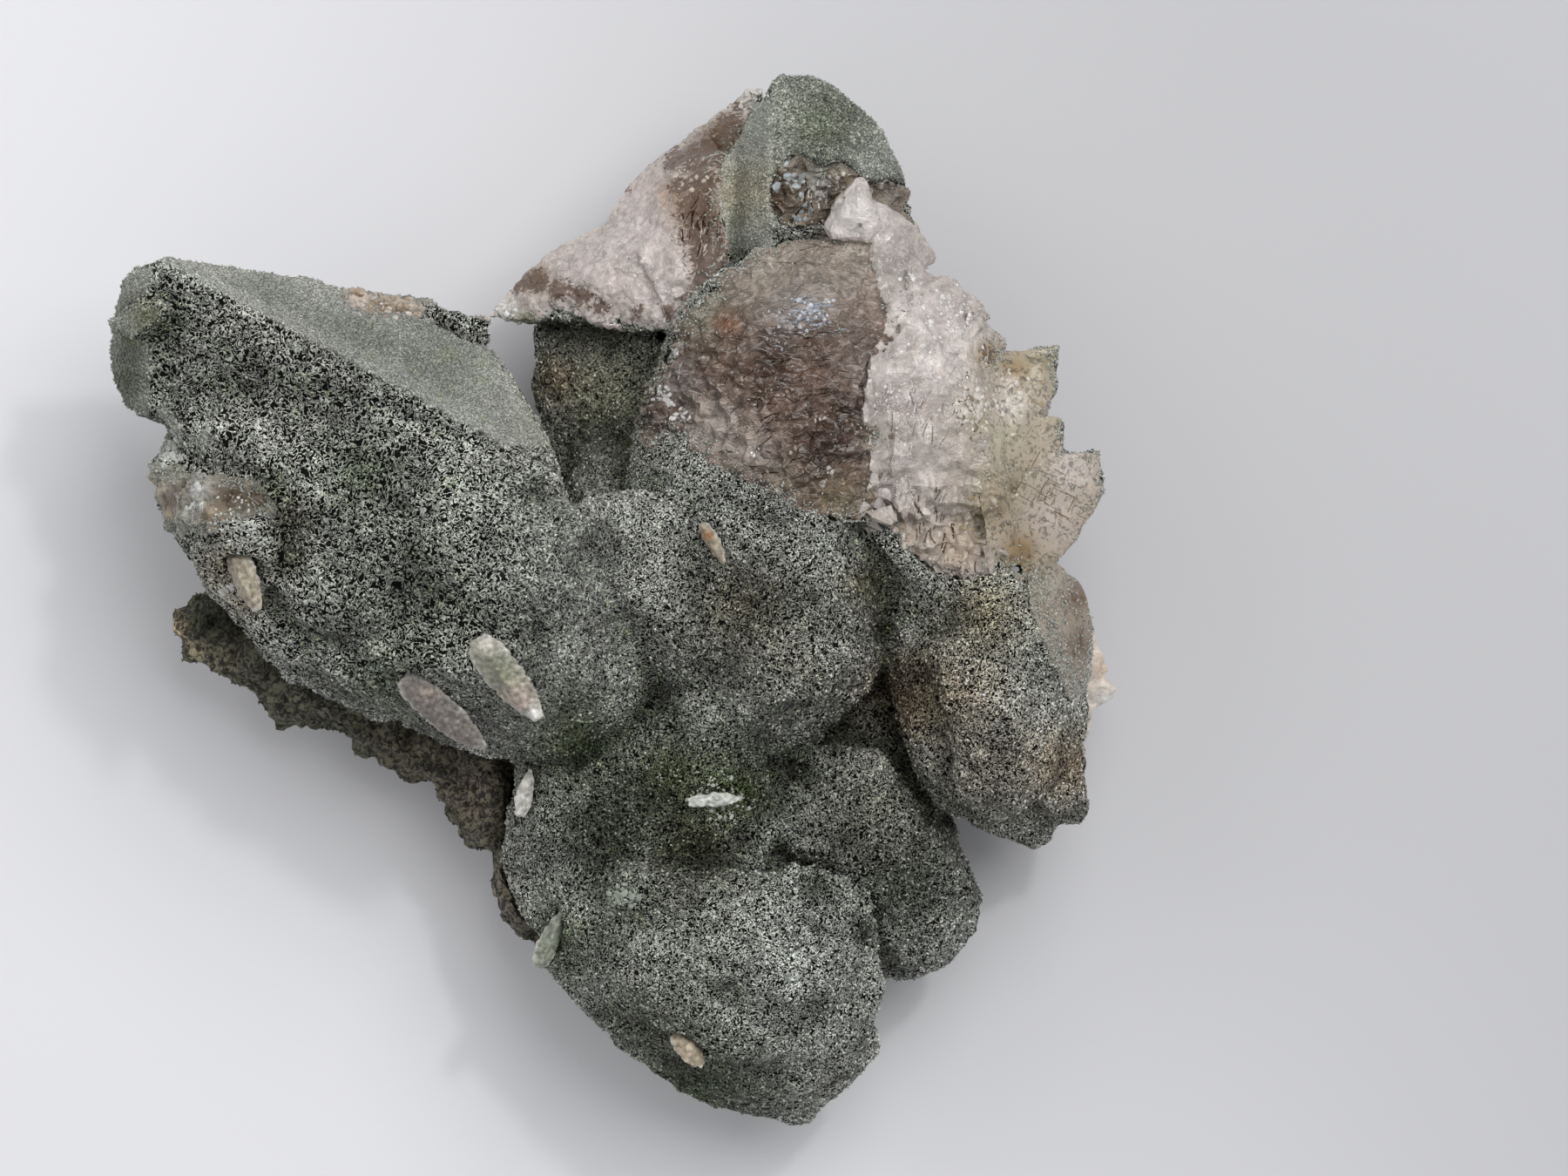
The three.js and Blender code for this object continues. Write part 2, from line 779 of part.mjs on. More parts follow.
const GLASSY_PAIR = [
  [
    [-39.8, 12.5, 37], // the larger one's tip and its brown upper face
    [-34.4, 11.4, 37.4],
    [-32.7, 8.8, 38],
    [-37.4, 7.6, 39.2],
    [-41.6, 10.0, 34.5],
    [-41.9, 7.6, 33],
    [-40.9, 4.0, 30.5],
    [-38.8, 0.9, 28.5],
    [-36.2, -0.9, 28],
    [-33.2, 1.4, 34],
    [-32.3, 5.6, 37],
    [-37.8, 3.0, 35],
    [-39.0, 9.0, 22],
    [-34.0, 8.0, 24],
    [-36.0, 1.0, 20],
  ],
  [
    [-44.9, 12.8, 27.5], // the small one at its left
    [-42.0, 12.9, 31.5],
    [-41.4, 9.4, 32],
    [-41.6, 6.4, 29.5],
    [-44.4, 9.8, 26.5],
    [-43.6, 7.2, 25],
    [-42.0, 4.4, 24],
    [-42.0, 11.0, 18],
    [-40.0, 6.0, 18],
  ],
];
const BRIDGE_QUARTZ = quartzPrism({
  foot: [-17.6, 28.2, 21.5],
  tip: [-26.4, 29.2, 24.2],
  across: 3.6,
  flat: 0.8,
  roll: 15,
});

// Small blades of a second mineral, and the white crust between the crystals. Each rises over what bears it.
const BLADES = [
  { at: [-16.2, -10.8], length: 10.8, width: 3.4, thick: 1.3, heading: -41, lean: 28, pitch: 8, rise: 0.7 },
  { at: [-9.8, -7.4], length: 10.6, width: 3.4, thick: 1.6, heading: -52, lean: 24, pitch: 6, rise: 0.9 },
  { at: [9.9, 5.6], length: 4.8, width: 2.2, thick: 0.7, heading: -62, lean: 46, pitch: 0, rise: 0.5 },
  { at: [7.4, -43.6], length: 4.9, width: 3.2, thick: 1.4, heading: -50, lean: -30, pitch: 10, rise: 0.5 },
  { at: [-35.2, 2.0], length: 6.4, width: 3.2, thick: 2.2, heading: -68, lean: 20, pitch: 0, rise: 0.6 },
  { at: [-6.2, -33.0], length: 6.6, width: 2.4, thick: 1.6, heading: 66, lean: 12, pitch: 0, rise: 0.1 },
  { at: [-8.6, -18.6], length: 5.2, width: 1.7, thick: 1.2, heading: 76, lean: 10, pitch: 0, rise: 0.4 },
  { at: [10.0, -19.2], length: 5.2, width: 2.2, thick: 1.0, heading: 4, lean: -12, pitch: 0, rise: 0.3 },
];

// The bed: rubbly rock under the crystals, and the ledge that shows past the great crystal's lower side.
const BED = [
  { at: [2, -3, 7], radii: [26, 22, 11], turn: 0.4 },
  { at: [22, 8, 7], radii: [17, 20, 10], turn: 1.7 },
  { at: [12, 28, 7], radii: [13, 12, 9], turn: 2.6 },
  { at: [10, -24, 7], radii: [17, 14, 9.5], turn: 3.9 },
  { at: [30, -8, 7], radii: [12, 11, 8.5], turn: 5.1 },
  { at: [-22, 6, 11], radii: [16, 11, 8], turn: 6.3 },
];
const LEDGE = [
  { at: [-40.0, -2.6, 11.5], radii: [4.2, 4.0, 3.8], rough: 0.1, turn: 0.8 },
  { at: [-36.2, -4.8, 10.5], radii: [5.4, 4.4, 4.4], rough: 0.1, turn: 2.2 },
  { at: [-27.6, -8.0, 9.5], radii: [9.4, 5.6, 5.6], rough: 0.1, turn: 3.4 },
  { at: [-18.0, -12.8, 9.5], radii: [8.4, 5.6, 6.0], rough: 0.1, turn: 4.6 },
  { at: [-12.0, -19.0, 9.5], radii: [5.6, 6.4, 6.4], rough: 0.1, turn: 5.9 },
  { at: [-8.0, -27.0, 9.5], radii: [4.6, 7.2, 6.6], rough: 0.08, turn: 7.2 },
];

// Builds the solids. What stands proud is whole, and what it grows from is cut back round it by the seam.
const ground = solidOf(
  new THREE.BoxGeometry(GROUND_REACH, GROUND_REACH, GROUND_DEPTH).translate(
    0,
    0,
    REST_LEVEL - GROUND_DEPTH / 2,
  ),
);
const ROUNDED_CRYSTALS = [
  { corners: GREAT_CRYSTAL_BELLY, soft: 2.2 },
  { corners: GREAT_CRYSTAL_STEP, soft: 1.2 },
  { corners: GREAT_CRYSTAL_FOOT, soft: 1.6 },
  { corners: CENTRE_CRYSTAL, soft: 2.0 },
  { corners: RIGHT_CRYSTAL, soft: 1.5 },
  { corners: DARK_CRYSTAL, soft: 1.6 },
  { corners: BOTTOM_CRYSTAL, soft: 2.2 },
  { corners: SADDLE, soft: 1.2 },
  { corners: GREAT_TO_CENTRE, soft: 1.0 },
  { corners: CENTRE_TO_SADDLE, soft: 1.0 },
  { corners: RIGHT_CRYSTAL_FLANK, soft: 1.0 },
];
const CRISP_CRYSTALS = [
  GREAT_CRYSTAL,
  RECESSED_CRYSTAL,
  BRIDGE_CRYSTAL,
  TOP_CRYSTAL,
  RIGHT_COLLAR,
  RIGHT_OUTER_LOBE,
  RIGHT_LOWER_LOBE,
  ...COATED_GROWTHS,
  SMOKY_CORE,
  SMOKY_STUB,
  MILKY_SHOULDER,
  ...MILKY_SHARDS,
  ...STEPPED_BLOCKS,
  ...MILKY_WALL,
  ...REAR_SHARDS,
  ...GLASSY_PAIR,
  BRIDGE_QUARTZ,
];

// Where a solid's upper surface is at a place seen from above, and which way it faces there.
function surfaceAt(solid, [x, y]) {
  const surface = new THREE.Mesh(geometryOf(solid), new THREE.MeshBasicMaterial());
  const down = new THREE.Raycaster(new THREE.Vector3(x, y, ABOVE_ALL), new THREE.Vector3(0, 0, -1));
  const [{ point, face }] = down.intersectObject(surface);
  return { point, normal: face.normal };
}

const made = (shapes, build) => shapes.map((shape) => ({ shape, build }));
const crystals = [...made(ROUNDED_CRYSTALS, coatedCrystal), ...made(CRISP_CRYSTALS, crystal)];
const crystalFaces = joined(crystals.map(({ shape, build }) => build(shape)));
crystals.push(
  ...made(
    MOUNDS.map((mound) => moundCorners(mound, surfaceAt(crystalFaces, mound.at))),
    crystal,
  ),
  ...made(COATED_FILL, lump),
);
const crystalGroup = joined(crystals.map(({ shape, build }) => build(shape)));
const blades = BLADES.map((blade) =>
  bladeCorners({ ...blade, at: [...blade.at, surfaceAt(crystalGroup, blade.at).point.z + blade.rise] }),
);

// Earlier pieces stay whole, and each later one gives way to all before it.
const solids = new Map();
const taken = [];
function settle(name, parts) {
  let solid = joined(parts.map(({ shape, build }) => build(shape)));
  for (const other of taken) solid = solid.subtract(other);
  solids.set(name, largest(solid));
  taken.push(...parts.map(({ shape, build }) => build(shape, SEAM)));
}
blades.forEach((corners, i) => settle(`blade_${i + 1}`, made([corners], crystal)));
settle("crystal_group", crystals);
settle("rock_bed", made([...BED, ...LEDGE], lump));
for (const name of ["crystal_group", "rock_bed"]) {
  solids.set(name, largest(solids.get(name).subtract(ground)));
}

// Colours as the eye reads them on the real piece.
const FINISH = {
  crystal_group: { color: 0x6a7266, roughness: 0.85 },
  rock_bed: { color: 0x6f675c, roughness: 0.95 },
  blade: { color: 0x9a8f88, roughness: 0.5 },
};

const group = new THREE.Group();
for (const [name, solid] of solids) {
  const finish = FINISH[name] ?? FINISH.blade;
  const mesh = new THREE.Mesh(
    geometryOf(solid),
    new THREE.MeshStandardMaterial({ ...finish, metalness: 0, flatShading: true }),
  );
  mesh.name = name;
  group.add(mesh);
}

export default group;
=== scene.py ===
import math

import bpy
import numpy as np
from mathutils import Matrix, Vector
from mathutils.kdtree import KDTree


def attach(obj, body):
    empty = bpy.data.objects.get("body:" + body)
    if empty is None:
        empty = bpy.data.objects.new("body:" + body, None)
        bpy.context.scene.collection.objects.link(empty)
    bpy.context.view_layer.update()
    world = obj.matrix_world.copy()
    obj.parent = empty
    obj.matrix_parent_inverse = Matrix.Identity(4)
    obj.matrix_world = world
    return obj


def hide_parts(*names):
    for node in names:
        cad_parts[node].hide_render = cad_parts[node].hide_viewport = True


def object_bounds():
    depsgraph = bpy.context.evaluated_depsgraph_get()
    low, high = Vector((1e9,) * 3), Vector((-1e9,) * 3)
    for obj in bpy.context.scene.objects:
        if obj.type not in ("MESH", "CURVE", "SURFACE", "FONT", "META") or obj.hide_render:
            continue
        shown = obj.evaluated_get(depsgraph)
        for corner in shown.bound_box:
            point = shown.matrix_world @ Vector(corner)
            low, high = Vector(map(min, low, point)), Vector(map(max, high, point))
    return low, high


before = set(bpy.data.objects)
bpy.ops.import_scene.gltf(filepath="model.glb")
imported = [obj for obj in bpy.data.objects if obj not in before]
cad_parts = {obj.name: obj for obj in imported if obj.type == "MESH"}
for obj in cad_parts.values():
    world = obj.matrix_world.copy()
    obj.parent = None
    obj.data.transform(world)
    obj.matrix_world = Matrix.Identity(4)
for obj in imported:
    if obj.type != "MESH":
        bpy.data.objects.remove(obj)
cad_box = [list(corner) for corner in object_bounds()]

# The view. The group lies on a pale table and is seen from straight above, its middle a little
# left of the picture's, as the photograph has it.
MM = 0.001
CAMERA_AT = (16.66 * MM, 1.36 * MM, 925 * MM)
VIEW_WIDTH = 153 * MM  # what the picture's width covers at the group's middle height
MIDDLE_HEIGHT = 25 * MM
SENSOR = 36
camera_data = bpy.data.cameras.new("camera")
camera_data.sensor_width = SENSOR
camera_data.lens = SENSOR * (CAMERA_AT[2] - MIDDLE_HEIGHT) / VIEW_WIDTH
camera = bpy.data.objects.new("camera", camera_data)
camera.location = CAMERA_AT
bpy.context.scene.collection.objects.link(camera)
bpy.context.scene.camera = camera
bpy.context.scene.view_settings.view_transform = "Standard"

# The light: a wide, soft light from the upper right, a paler one from the upper left, the pale room all
# round, and one small lamp beside the wide light that makes the quartz and the flakes glint.
LIGHT_DISTANCE = 0.9
LIGHTS = {  # where each comes from, how wide it is, in metres, and its power
    "window": ((0.30, 0.40, 0.86), 0.7, 4.4),
    "lamp": ((0.34, 0.40, 0.86), 0.07, 1.0),
    "wall_light": ((-0.62, 0.42, 0.66), 0.6, 1.2),
}
ROOM_STRENGTH = 0.5


def linear(hex_colour):
    """An sRGB hex colour as linear red, green, blue and full alpha."""
    parts = [int(hex_colour[i : i + 2], 16) / 255 for i in (1, 3, 5)]
    return [p / 12.92 if p <= 0.04045 else ((p + 0.055) / 1.055) ** 2.4 for p in parts] + [1.0]


def feed(tree, node, inputs):
    """Links each named or numbered input of a node to a socket, or sets it to a value."""
    for name, source in inputs.items():
        if isinstance(source, bpy.types.NodeSocket):
            tree.links.new(source, node.inputs[name])
        else:
            node.inputs[name].default_value = source


for name, (way, size, power) in LIGHTS.items():
    light = bpy.data.lights.new(name, "AREA")
    light.shape = "DISK"
    light.size = size
    light.energy = power
    light_object = bpy.data.objects.new(name, light)
    light_object.location = Vector(way).normalized() * LIGHT_DISTANCE
    light_object.rotation_euler = Vector(way).to_track_quat("Z", "Y").to_euler()
    bpy.context.scene.collection.objects.link(light_object)
room = bpy.data.worlds.new("room")
room.use_nodes = True
wall_paint = {"Color": linear("#f3f4f6"), "Strength": ROOM_STRENGTH}
feed(room.node_tree, room.node_tree.nodes["Background"], wall_paint)
bpy.context.scene.world = room

# The table: a plain pale sheet of paper that the group rests on. Its colour is painted darker towards
# the right, as painted shade.
TABLE_REACH = 3.0
TABLE_DROP = 0.05 * MM  # how far its surface lies under the group
DIMMER_WAY = (1.0, 0.45, 0.0)
DIMMER_RUN = (-50 * MM, 100 * MM)  # from where to where, that way, its painted shade deepens
DIMMER_SHARES = (1.1, 0.725)


def add(tree, kind, inputs=None, **settings):
    """Adds a node: settings are its properties or its inputs' values, and inputs is fed to its inputs."""
    node = tree.nodes.new(kind)
    for key, value in settings.items():
        if hasattr(node, key):
            setattr(node, key, value)
        else:
            node.inputs[key.replace("_", " ")].default_value = value
    feed(tree, node, inputs or {})
    return node


bpy.ops.object.select_all(action="DESELECT")
bpy.ops.mesh.primitive_plane_add(size=TABLE_REACH, location=(0, 0, -TABLE_DROP))
table = bpy.context.object
table.name = "table"

# Material: matt paper. Pale paper with no gloss, so that it takes soft shadows and never shines.
paper = bpy.data.materials.new("matt_paper")
paper.use_nodes = True
tree = paper.node_tree
# Painted shade: the paper's colour is scaled down smoothly towards the right.
place = add(tree, "ShaderNodeTexCoord").outputs["Object"]
across = add(tree, "ShaderNodeVectorMath", {0: place, 1: DIMMER_WAY}, operation="DOT_PRODUCT")
fall = add(
    tree, "ShaderNodeMapRange", {"Value": across.outputs["Value"]}, interpolation_type="SMOOTHSTEP",
    From_Min=DIMMER_RUN[0], From_Max=DIMMER_RUN[1], To_Min=DIMMER_SHARES[0], To_Max=DIMMER_SHARES[1],
)
dimmed = {0: linear("#dcdcdf")[:3], "Scale": fall.outputs["Result"]}
white = add(tree, "ShaderNodeVectorMath", dimmed, operation="SCALE")
feed(tree, tree.nodes["Principled BSDF"], {"Base Color": white.outputs["Vector"], "Roughness": 0.75})
table.data.materials.append(paper)

# The stock: a copy of the group's solid. The bare quartz is sawn off it piece by piece, where the
# photograph shows no coat, and what is left at the end becomes the coated crust.
BOX_LOW, BOX_HIGH = (np.array(corner) for corner in cad_box)
WELD = 0.02 * MM  # loose points nearer to each other than this are merged


def place_object(name, data):
    """Puts a mesh in the scene as the one selected object."""
    bpy.ops.object.select_all(action="DESELECT")
    piece = bpy.data.objects.new(name, data)
    bpy.context.scene.collection.objects.link(piece)
    piece.select_set(True)
    bpy.context.view_layer.objects.active = piece
    return piece


def merged_copy(node, name):
    """A copy of a solid of the frame, with its loose triangles merged."""
    piece = place_object(name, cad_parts[node].data.copy())
    piece.data.materials.clear()
    bpy.ops.object.mode_set(mode="EDIT")
    bpy.ops.mesh.select_all(action="SELECT")
    bpy.ops.mesh.remove_doubles(threshold=WELD)
    bpy.ops.object.mode_set(mode="OBJECT")
    return piece


whole = merged_copy("crystal_group", "uncut_group")  # taken away again once the quartz is sawn off
stock = merged_copy("crystal_group", "coated_crystals")

# The smoky core: the broken inside of the largest clear crystal. Its glass is purple brown and full of
# curved cracks, paler and dusted with chlorite along its upper edge.
SMOKY_OUTLINE = [
    (1.3, 14.3), (3.3, 14.7), (6.1, 16.4), (8.2, 14.7), (10.2, 12.1), (12.6, 11.3), (16.5, 9.2), (20.3, 7.5),
    (24.5, 7.2), (26.6, 11.0), (27.8, 15.8), (27.0, 17.2), (25.6, 17.0), (26.0, 22.0), (27.0, 25.0),
    (28.2, 27.0), (27.4, 32.7), (25.6, 35.8), (20.0, 36.4), (14.0, 34.3), (9.6, 30.6), (5.3, 25.6),
]
SMOKY_TINTS = [  # where, how far round it, and the colour there
    (15.5, 33.0, 5.0, "#a89c8d"), (24.0, 33.0, 3.8, "#aea092"), (21.6, 30.4, 3.4, "#a39689"),
    (9.0, 28.6, 3.2, "#807b68"), (18.2, 27.4, 3.0, "#918a86"), (23.8, 27.6, 2.6, "#857468"),
    (11.2, 26.8, 1.3, "#8a5a3a"), (15.4, 22.6, 3.0, "#523c30"), (19.4, 25.0, 1.8, "#6b5549"),
    (23.6, 22.6, 2.2, "#9a8b81"), (12.0, 20.2, 2.6, "#705b4e"), (18.6, 19.6, 3.0, "#6c564a"),
    (23.0, 18.2, 2.2, "#5e4a3f"), (9.8, 17.0, 2.4, "#bbaea5"), (13.6, 14.6, 2.6, "#b7a99d"),
    (19.6, 13.8, 2.8, "#422e22"), (22.8, 15.4, 2.0, "#59443a"), (4.0, 18.0, 1.8, "#4b3f37"),
    (6.6, 21.6, 1.8, "#8f857d"), (5.4, 24.4, 1.6, "#6a5f52"), (26.2, 15.0, 1.8, "#a89a8b"),
    (21.8, 9.8, 2.6, "#85765f"), (16.4, 11.8, 1.8, "#8d7f6d"), (25.4, 10.0, 1.6, "#8f8069"),
]
LEDGED_TO, LEDGED_FADE, LEDGED_LEAST = 30 * MM, 5 * MM, 0.4  # its ledges fade towards this y, to so much


def outline_block(outline, low, high):
    """A block whose upright walls follow an outline, in millimetres, between two levels."""
    bpy.ops.object.select_all(action="DESELECT")
    bpy.ops.mesh.primitive_circle_add(vertices=len(outline), radius=1, fill_type="NGON")
    block = bpy.context.object
    for vertex, (x, y) in zip(block.data.vertices, outline):
        vertex.co = (x * MM, y * MM, low * MM)
    bpy.ops.object.mode_set(mode="EDIT")
    bpy.ops.mesh.select_all(action="SELECT")
    bpy.ops.mesh.extrude_region_move(TRANSFORM_OT_translate={"value": (0, 0, (high - low) * MM)})
    bpy.ops.mesh.select_all(action="SELECT")
    bpy.ops.mesh.normals_make_consistent(inside=False)
    bpy.ops.object.mode_set(mode="OBJECT")
    return block


def apply_modifier(piece, kind, **settings):
    """Adds a modifier with its settings and applies it."""
    bpy.ops.object.select_all(action="DESELECT")
    piece.select_set(True)
    bpy.context.view_layer.objects.active = piece
    modifier = piece.modifiers.new(kind.lower(), kind)
    for key, value in settings.items():
        setattr(modifier, key, value)
    bpy.ops.object.modifier_apply(modifier=modifier.name)


SHARP_CORNER = 0.5  # keeps a sharp corner of an outline from being drawn in too far


def drawn_in(outline, by):
    """An outline moved inwards by so many millimetres."""
    corners = np.array(outline)
    following = np.roll(corners, -1, 0)
    run = following - corners
    turned_area = (corners[:, 0] * following[:, 1] - following[:, 0] * corners[:, 1]).sum()
    inward = np.column_stack([-run[:, 1], run[:, 0]]) / np.linalg.norm(run, axis=1)[:, None]
    inward *= np.sign(turned_area)
    before = np.roll(inward, 1, 0)
    return corners + by * (inward + before) / np.maximum(1 + (inward * before).sum(1), SHARP_CORNER)[:, None]


def remesh(piece, voxel):
    """Remakes a piece as an even mesh with faces of so many millimetres."""
    apply_modifier(piece, "REMESH", mode="VOXEL", voxel_size=voxel * MM)


def swell(piece, margin):
    """Lets a piece swell by a margin in millimetres, so that it grows into its neighbours' sides."""
    apply_modifier(piece, "DISPLACE", strength=margin * MM, mid_level=0)


OVERLAP = 0.7  # how far the crust reaches in under the edge of each piece of bare quartz


def split_off(name, outline, low, voxel, high=60):
    """Saws what lies inside an upright outline off the whole, cuts the stock back a little less far, and
    remakes the piece as an even mesh."""
    piece = place_object(name, whole.data.copy())
    for cut, by, way in ((piece, 0, "INTERSECT"), (stock, OVERLAP, "DIFFERENCE")):
        block = outline_block(drawn_in(outline, by), low + by, high)
        apply_modifier(cut, "BOOLEAN", object=block, operation=way, solver="EXACT")
        bpy.data.objects.remove(block)
    remesh(piece, voxel)
    return piece


PATTERN_MIDDLES = {"CLOUDS": 0.5, "VORONOI": 0.35}  # the level of a pattern that leaves the surface as it is
SQUARED = {"distance_metric": "MANHATTAN"}  # a pattern of straight-edged blocks, where it is curved without


def roughen(piece, kind, size, height, middle=None, group="", **settings):
    """Pushes a surface in and out along its normals by a pattern of a size and a height in millimetres,
    for each point as far as its weight in a group allows."""
    pattern = bpy.data.textures.new(f"{piece.name}_{kind.lower()}", kind)
    pattern.noise_scale = size * MM
    for key, value in settings.items():
        setattr(pattern, key, value)
    apply_modifier(
        piece, "DISPLACE", texture=pattern, texture_coords="LOCAL", vertex_group=group,
        strength=height * MM, mid_level=middle or PATTERN_MIDDLES[kind],
    )


def weigh(piece, name, weights, least=0.0):
    """Keeps a weight for each of a piece's points, between the least and 1, as a group."""
    group = piece.vertex_groups.new(name=name)
    for number, weight in enumerate(np.clip(weights, least, 1)):
        group.add([number], float(weight), "REPLACE")


def break_edges(piece, share, angle):
    """Draws a worked surface together into flatter facets, with crisp edges where they turn sharply."""
    apply_modifier(piece, "DECIMATE", ratio=share)
    bpy.ops.object.shade_smooth_by_angle(angle=math.radians(angle))


def points_of(piece):
    """A piece's points as an array of places in metres."""
    places = np.empty(len(piece.data.vertices) * 3)
    piece.data.vertices.foreach_get("co", places)
    return places.reshape(-1, 3)


def keep_in_box(piece):
    """Brings back points that a pattern pushed past the group's own reach."""
    piece.data.vertices.foreach_set("co", np.clip(points_of(piece), BOX_LOW, BOX_HIGH).reshape(-1))
    piece.data.update()


def tinted(points, base, patches):
    """The colour at each point: the base, gone over to each patch's own colour round its middle."""
    colour = np.tile(linear(base)[:3], (len(points), 1))
    for x, y, reach, patch in patches:
        off = (points[:, :2] / MM - (x, y)) / reach
        near = np.exp(-(off**2).sum(1))[:, None]
        colour = colour * (1 - near) + np.array(linear(patch)[:3]) * near
    return colour


def stained(points, stains):
    """How stained each point is, from 0 to 1, round the middles of a list of stains."""
    amount = np.zeros(len(points))
    for x, y, reach, strength in stains:
        off = (points[:, :2] / MM - (x, y)) / reach
        amount = np.maximum(amount, strength * np.exp(-(off**2).sum(1)))
    return amount


def paint(piece, colours, second=1.0):
    """Keeps a colour for each of a piece's points, for its material to read, and a second value: how stained
    the point is, or how finely coated."""
    layer = piece.data.color_attributes.new("tint", "FLOAT_COLOR", "POINT")
    values = np.column_stack([colours, np.broadcast_to(second, len(colours))])
    layer.data.foreach_set("color", values.reshape(-1))


def dress(piece, material, base, tints, stains=None):
    """Keeps a piece within the group's reach, colours its points, and stains them where its material can
    show stains, and gives it its material."""
    keep_in_box(piece)
    places = points_of(piece)
    paint(piece, tinted(places, base, tints), 1.0 if stains is None else stained(places, stains))
    piece.data.materials.append(material)


def begin_material(name):
    """A new material: it, its node tree, its shader, the places on a piece and the tint of its points."""
    material = bpy.data.materials.new(name)
    material.use_nodes = True
    tree = material.node_tree
    place = add(tree, "ShaderNodeTexCoord").outputs["Object"]
    tint = add(tree, "ShaderNodeAttribute", attribute_name="tint")
    return material, tree, tree.nodes["Principled BSDF"], place, tint


def toned(tree, colour, pattern, levels, shares):
    """A colour made darker or lighter: between two levels of a pattern it goes from one share to another."""
    tone = add(
        tree, "ShaderNodeMapRange", {"Value": pattern},
        From_Min=levels[0], From_Max=levels[1], To_Min=shares[0], To_Max=shares[1],
    )
    scaled = {0: colour, "Scale": tone.outputs["Result"]}
    return add(tree, "ShaderNodeVectorMath", scaled, operation="SCALE").outputs["Vector"]


smoky_core = split_off("smoky_core", SMOKY_OUTLINE, low=25, voxel=0.3)
swell(smoky_core, 0.25)
roughen(smoky_core, "CLOUDS", 5.0, 0.6, noise_depth=1)
roughen(smoky_core, "VORONOI", 3.6, -1.2)
weigh(smoky_core, "ledged", (LEDGED_TO - points_of(smoky_core)[:, 1]) / LEDGED_FADE, LEDGED_LEAST)
roughen(smoky_core, "VORONOI", 1.5, -1.1, group="ledged", **SQUARED)
break_edges(smoky_core, share=0.14, angle=5)

# Material: smoky quartz, broken. A clear brown glass whose broken face is all fine curved scales, some
# dark and some pale where they catch air. A haze of healed cracks inside holds the light.
QUARTZ_IOR = 1.544
smoky, tree, shader, place, tint = begin_material("smoky_quartz_broken")
haze = add(tree, "ShaderNodeTexNoise", {"Vector": place}, Scale=1 / (2.2 * MM), Detail=6.0, Distortion=1.0)
body = toned(tree, tint.outputs["Color"], haze.outputs["Fac"], levels=(0.35, 0.65), shares=(0.66, 1.3))
along = add(tree, "ShaderNodeMapping", {"Vector": place}, Scale=(0.55, 1.0, 1.0)).outputs["Vector"]
scaly = add(tree, "ShaderNodeTexNoise", {"Vector": along}, Scale=1 / (0.9 * MM), Detail=5.0, Distortion=1.6)
scales = scaly.outputs["Fac"]
dark = add(tree, "ShaderNodeMath", {0: scales, 1: 0.44, 2: 0.03}, operation="COMPARE").outputs["Value"]
pale = add(tree, "ShaderNodeMath", {0: scales, 1: 0.6, 2: 0.03}, operation="COMPARE").outputs["Value"]
body = toned(tree, body, dark, levels=(0, 1), shares=(1.0, 0.62))
share = add(tree, "ShaderNodeMapRange", {"Value": pale}, To_Max=0.3).outputs["Result"]
flecked = add(tree, "ShaderNodeMix", {0: share, 6: body, 7: linear("#cfc9c4")}, data_type="RGBA")
gloss = add(
    tree, "ShaderNodeMapRange", {"Value": scales}, From_Min=0.3, From_Max=0.7, To_Min=0.32, To_Max=0.12
)
grain = add(tree, "ShaderNodeBump", {"Height": scales}, Strength=0.9, Distance=0.35 * MM)
feed(tree, shader, {
    "Base Color": flecked.outputs[2], "Roughness": gloss.outputs["Result"], "Normal": grain.outputs["Normal"],
    "IOR": QUARTZ_IOR, "Transmission Weight": 0.22,
})
dress(smoky_core, smoky, "#725b4c", SMOKY_TINTS)
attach(smoky_core, "root")
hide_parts("crystal_group")

# The smoky stub: the broken end of the upper crystal, where the coat has come away from amber-brown
# glass. It is all small clean facets that flash as they turn.
STUB_OUTLINE = [
    (15.1, 42.2), (16.4, 43.6), (18.4, 44.2), (20.4, 42.9), (22.6, 43.4), (25.0, 41.6), (27.2, 42.0),
    (29.2, 41.0), (30.4, 36.4), (28.0, 35.6), (23.0, 36.4), (18.0, 35.6), (15.6, 36.0), (14.6, 39.0),
]
STUB_TINTS = [
    (16.3, 39.6, 1.8, "#5d482e"), (27.6, 39.6, 2.6, "#a5988b"), (19.6, 41.0, 1.4, "#aaa79c"),
]
smoky_stub = split_off("smoky_stub", STUB_OUTLINE, low=20, voxel=0.25)
swell(smoky_stub, 0.25)
roughen(smoky_stub, "VORONOI", 2.4, -1.8, middle=0.3, **SQUARED)
roughen(smoky_stub, "VORONOI", 0.9, -0.5, **SQUARED)
apply_modifier(smoky_stub, "DECIMATE", ratio=0.12)

# Material: smoky quartz, clear. The same glass without the haze: dark amber in its depth, sharp flashes.
amber = smoky.copy()
amber.name = "smoky_quartz_clear"
amber.node_tree.nodes["Principled BSDF"].inputs["Transmission Weight"].default_value = 0.45
dress(smoky_stub, amber, "#a1937f", STUB_TINTS)
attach(smoky_stub, "root")
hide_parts("crystal_group")

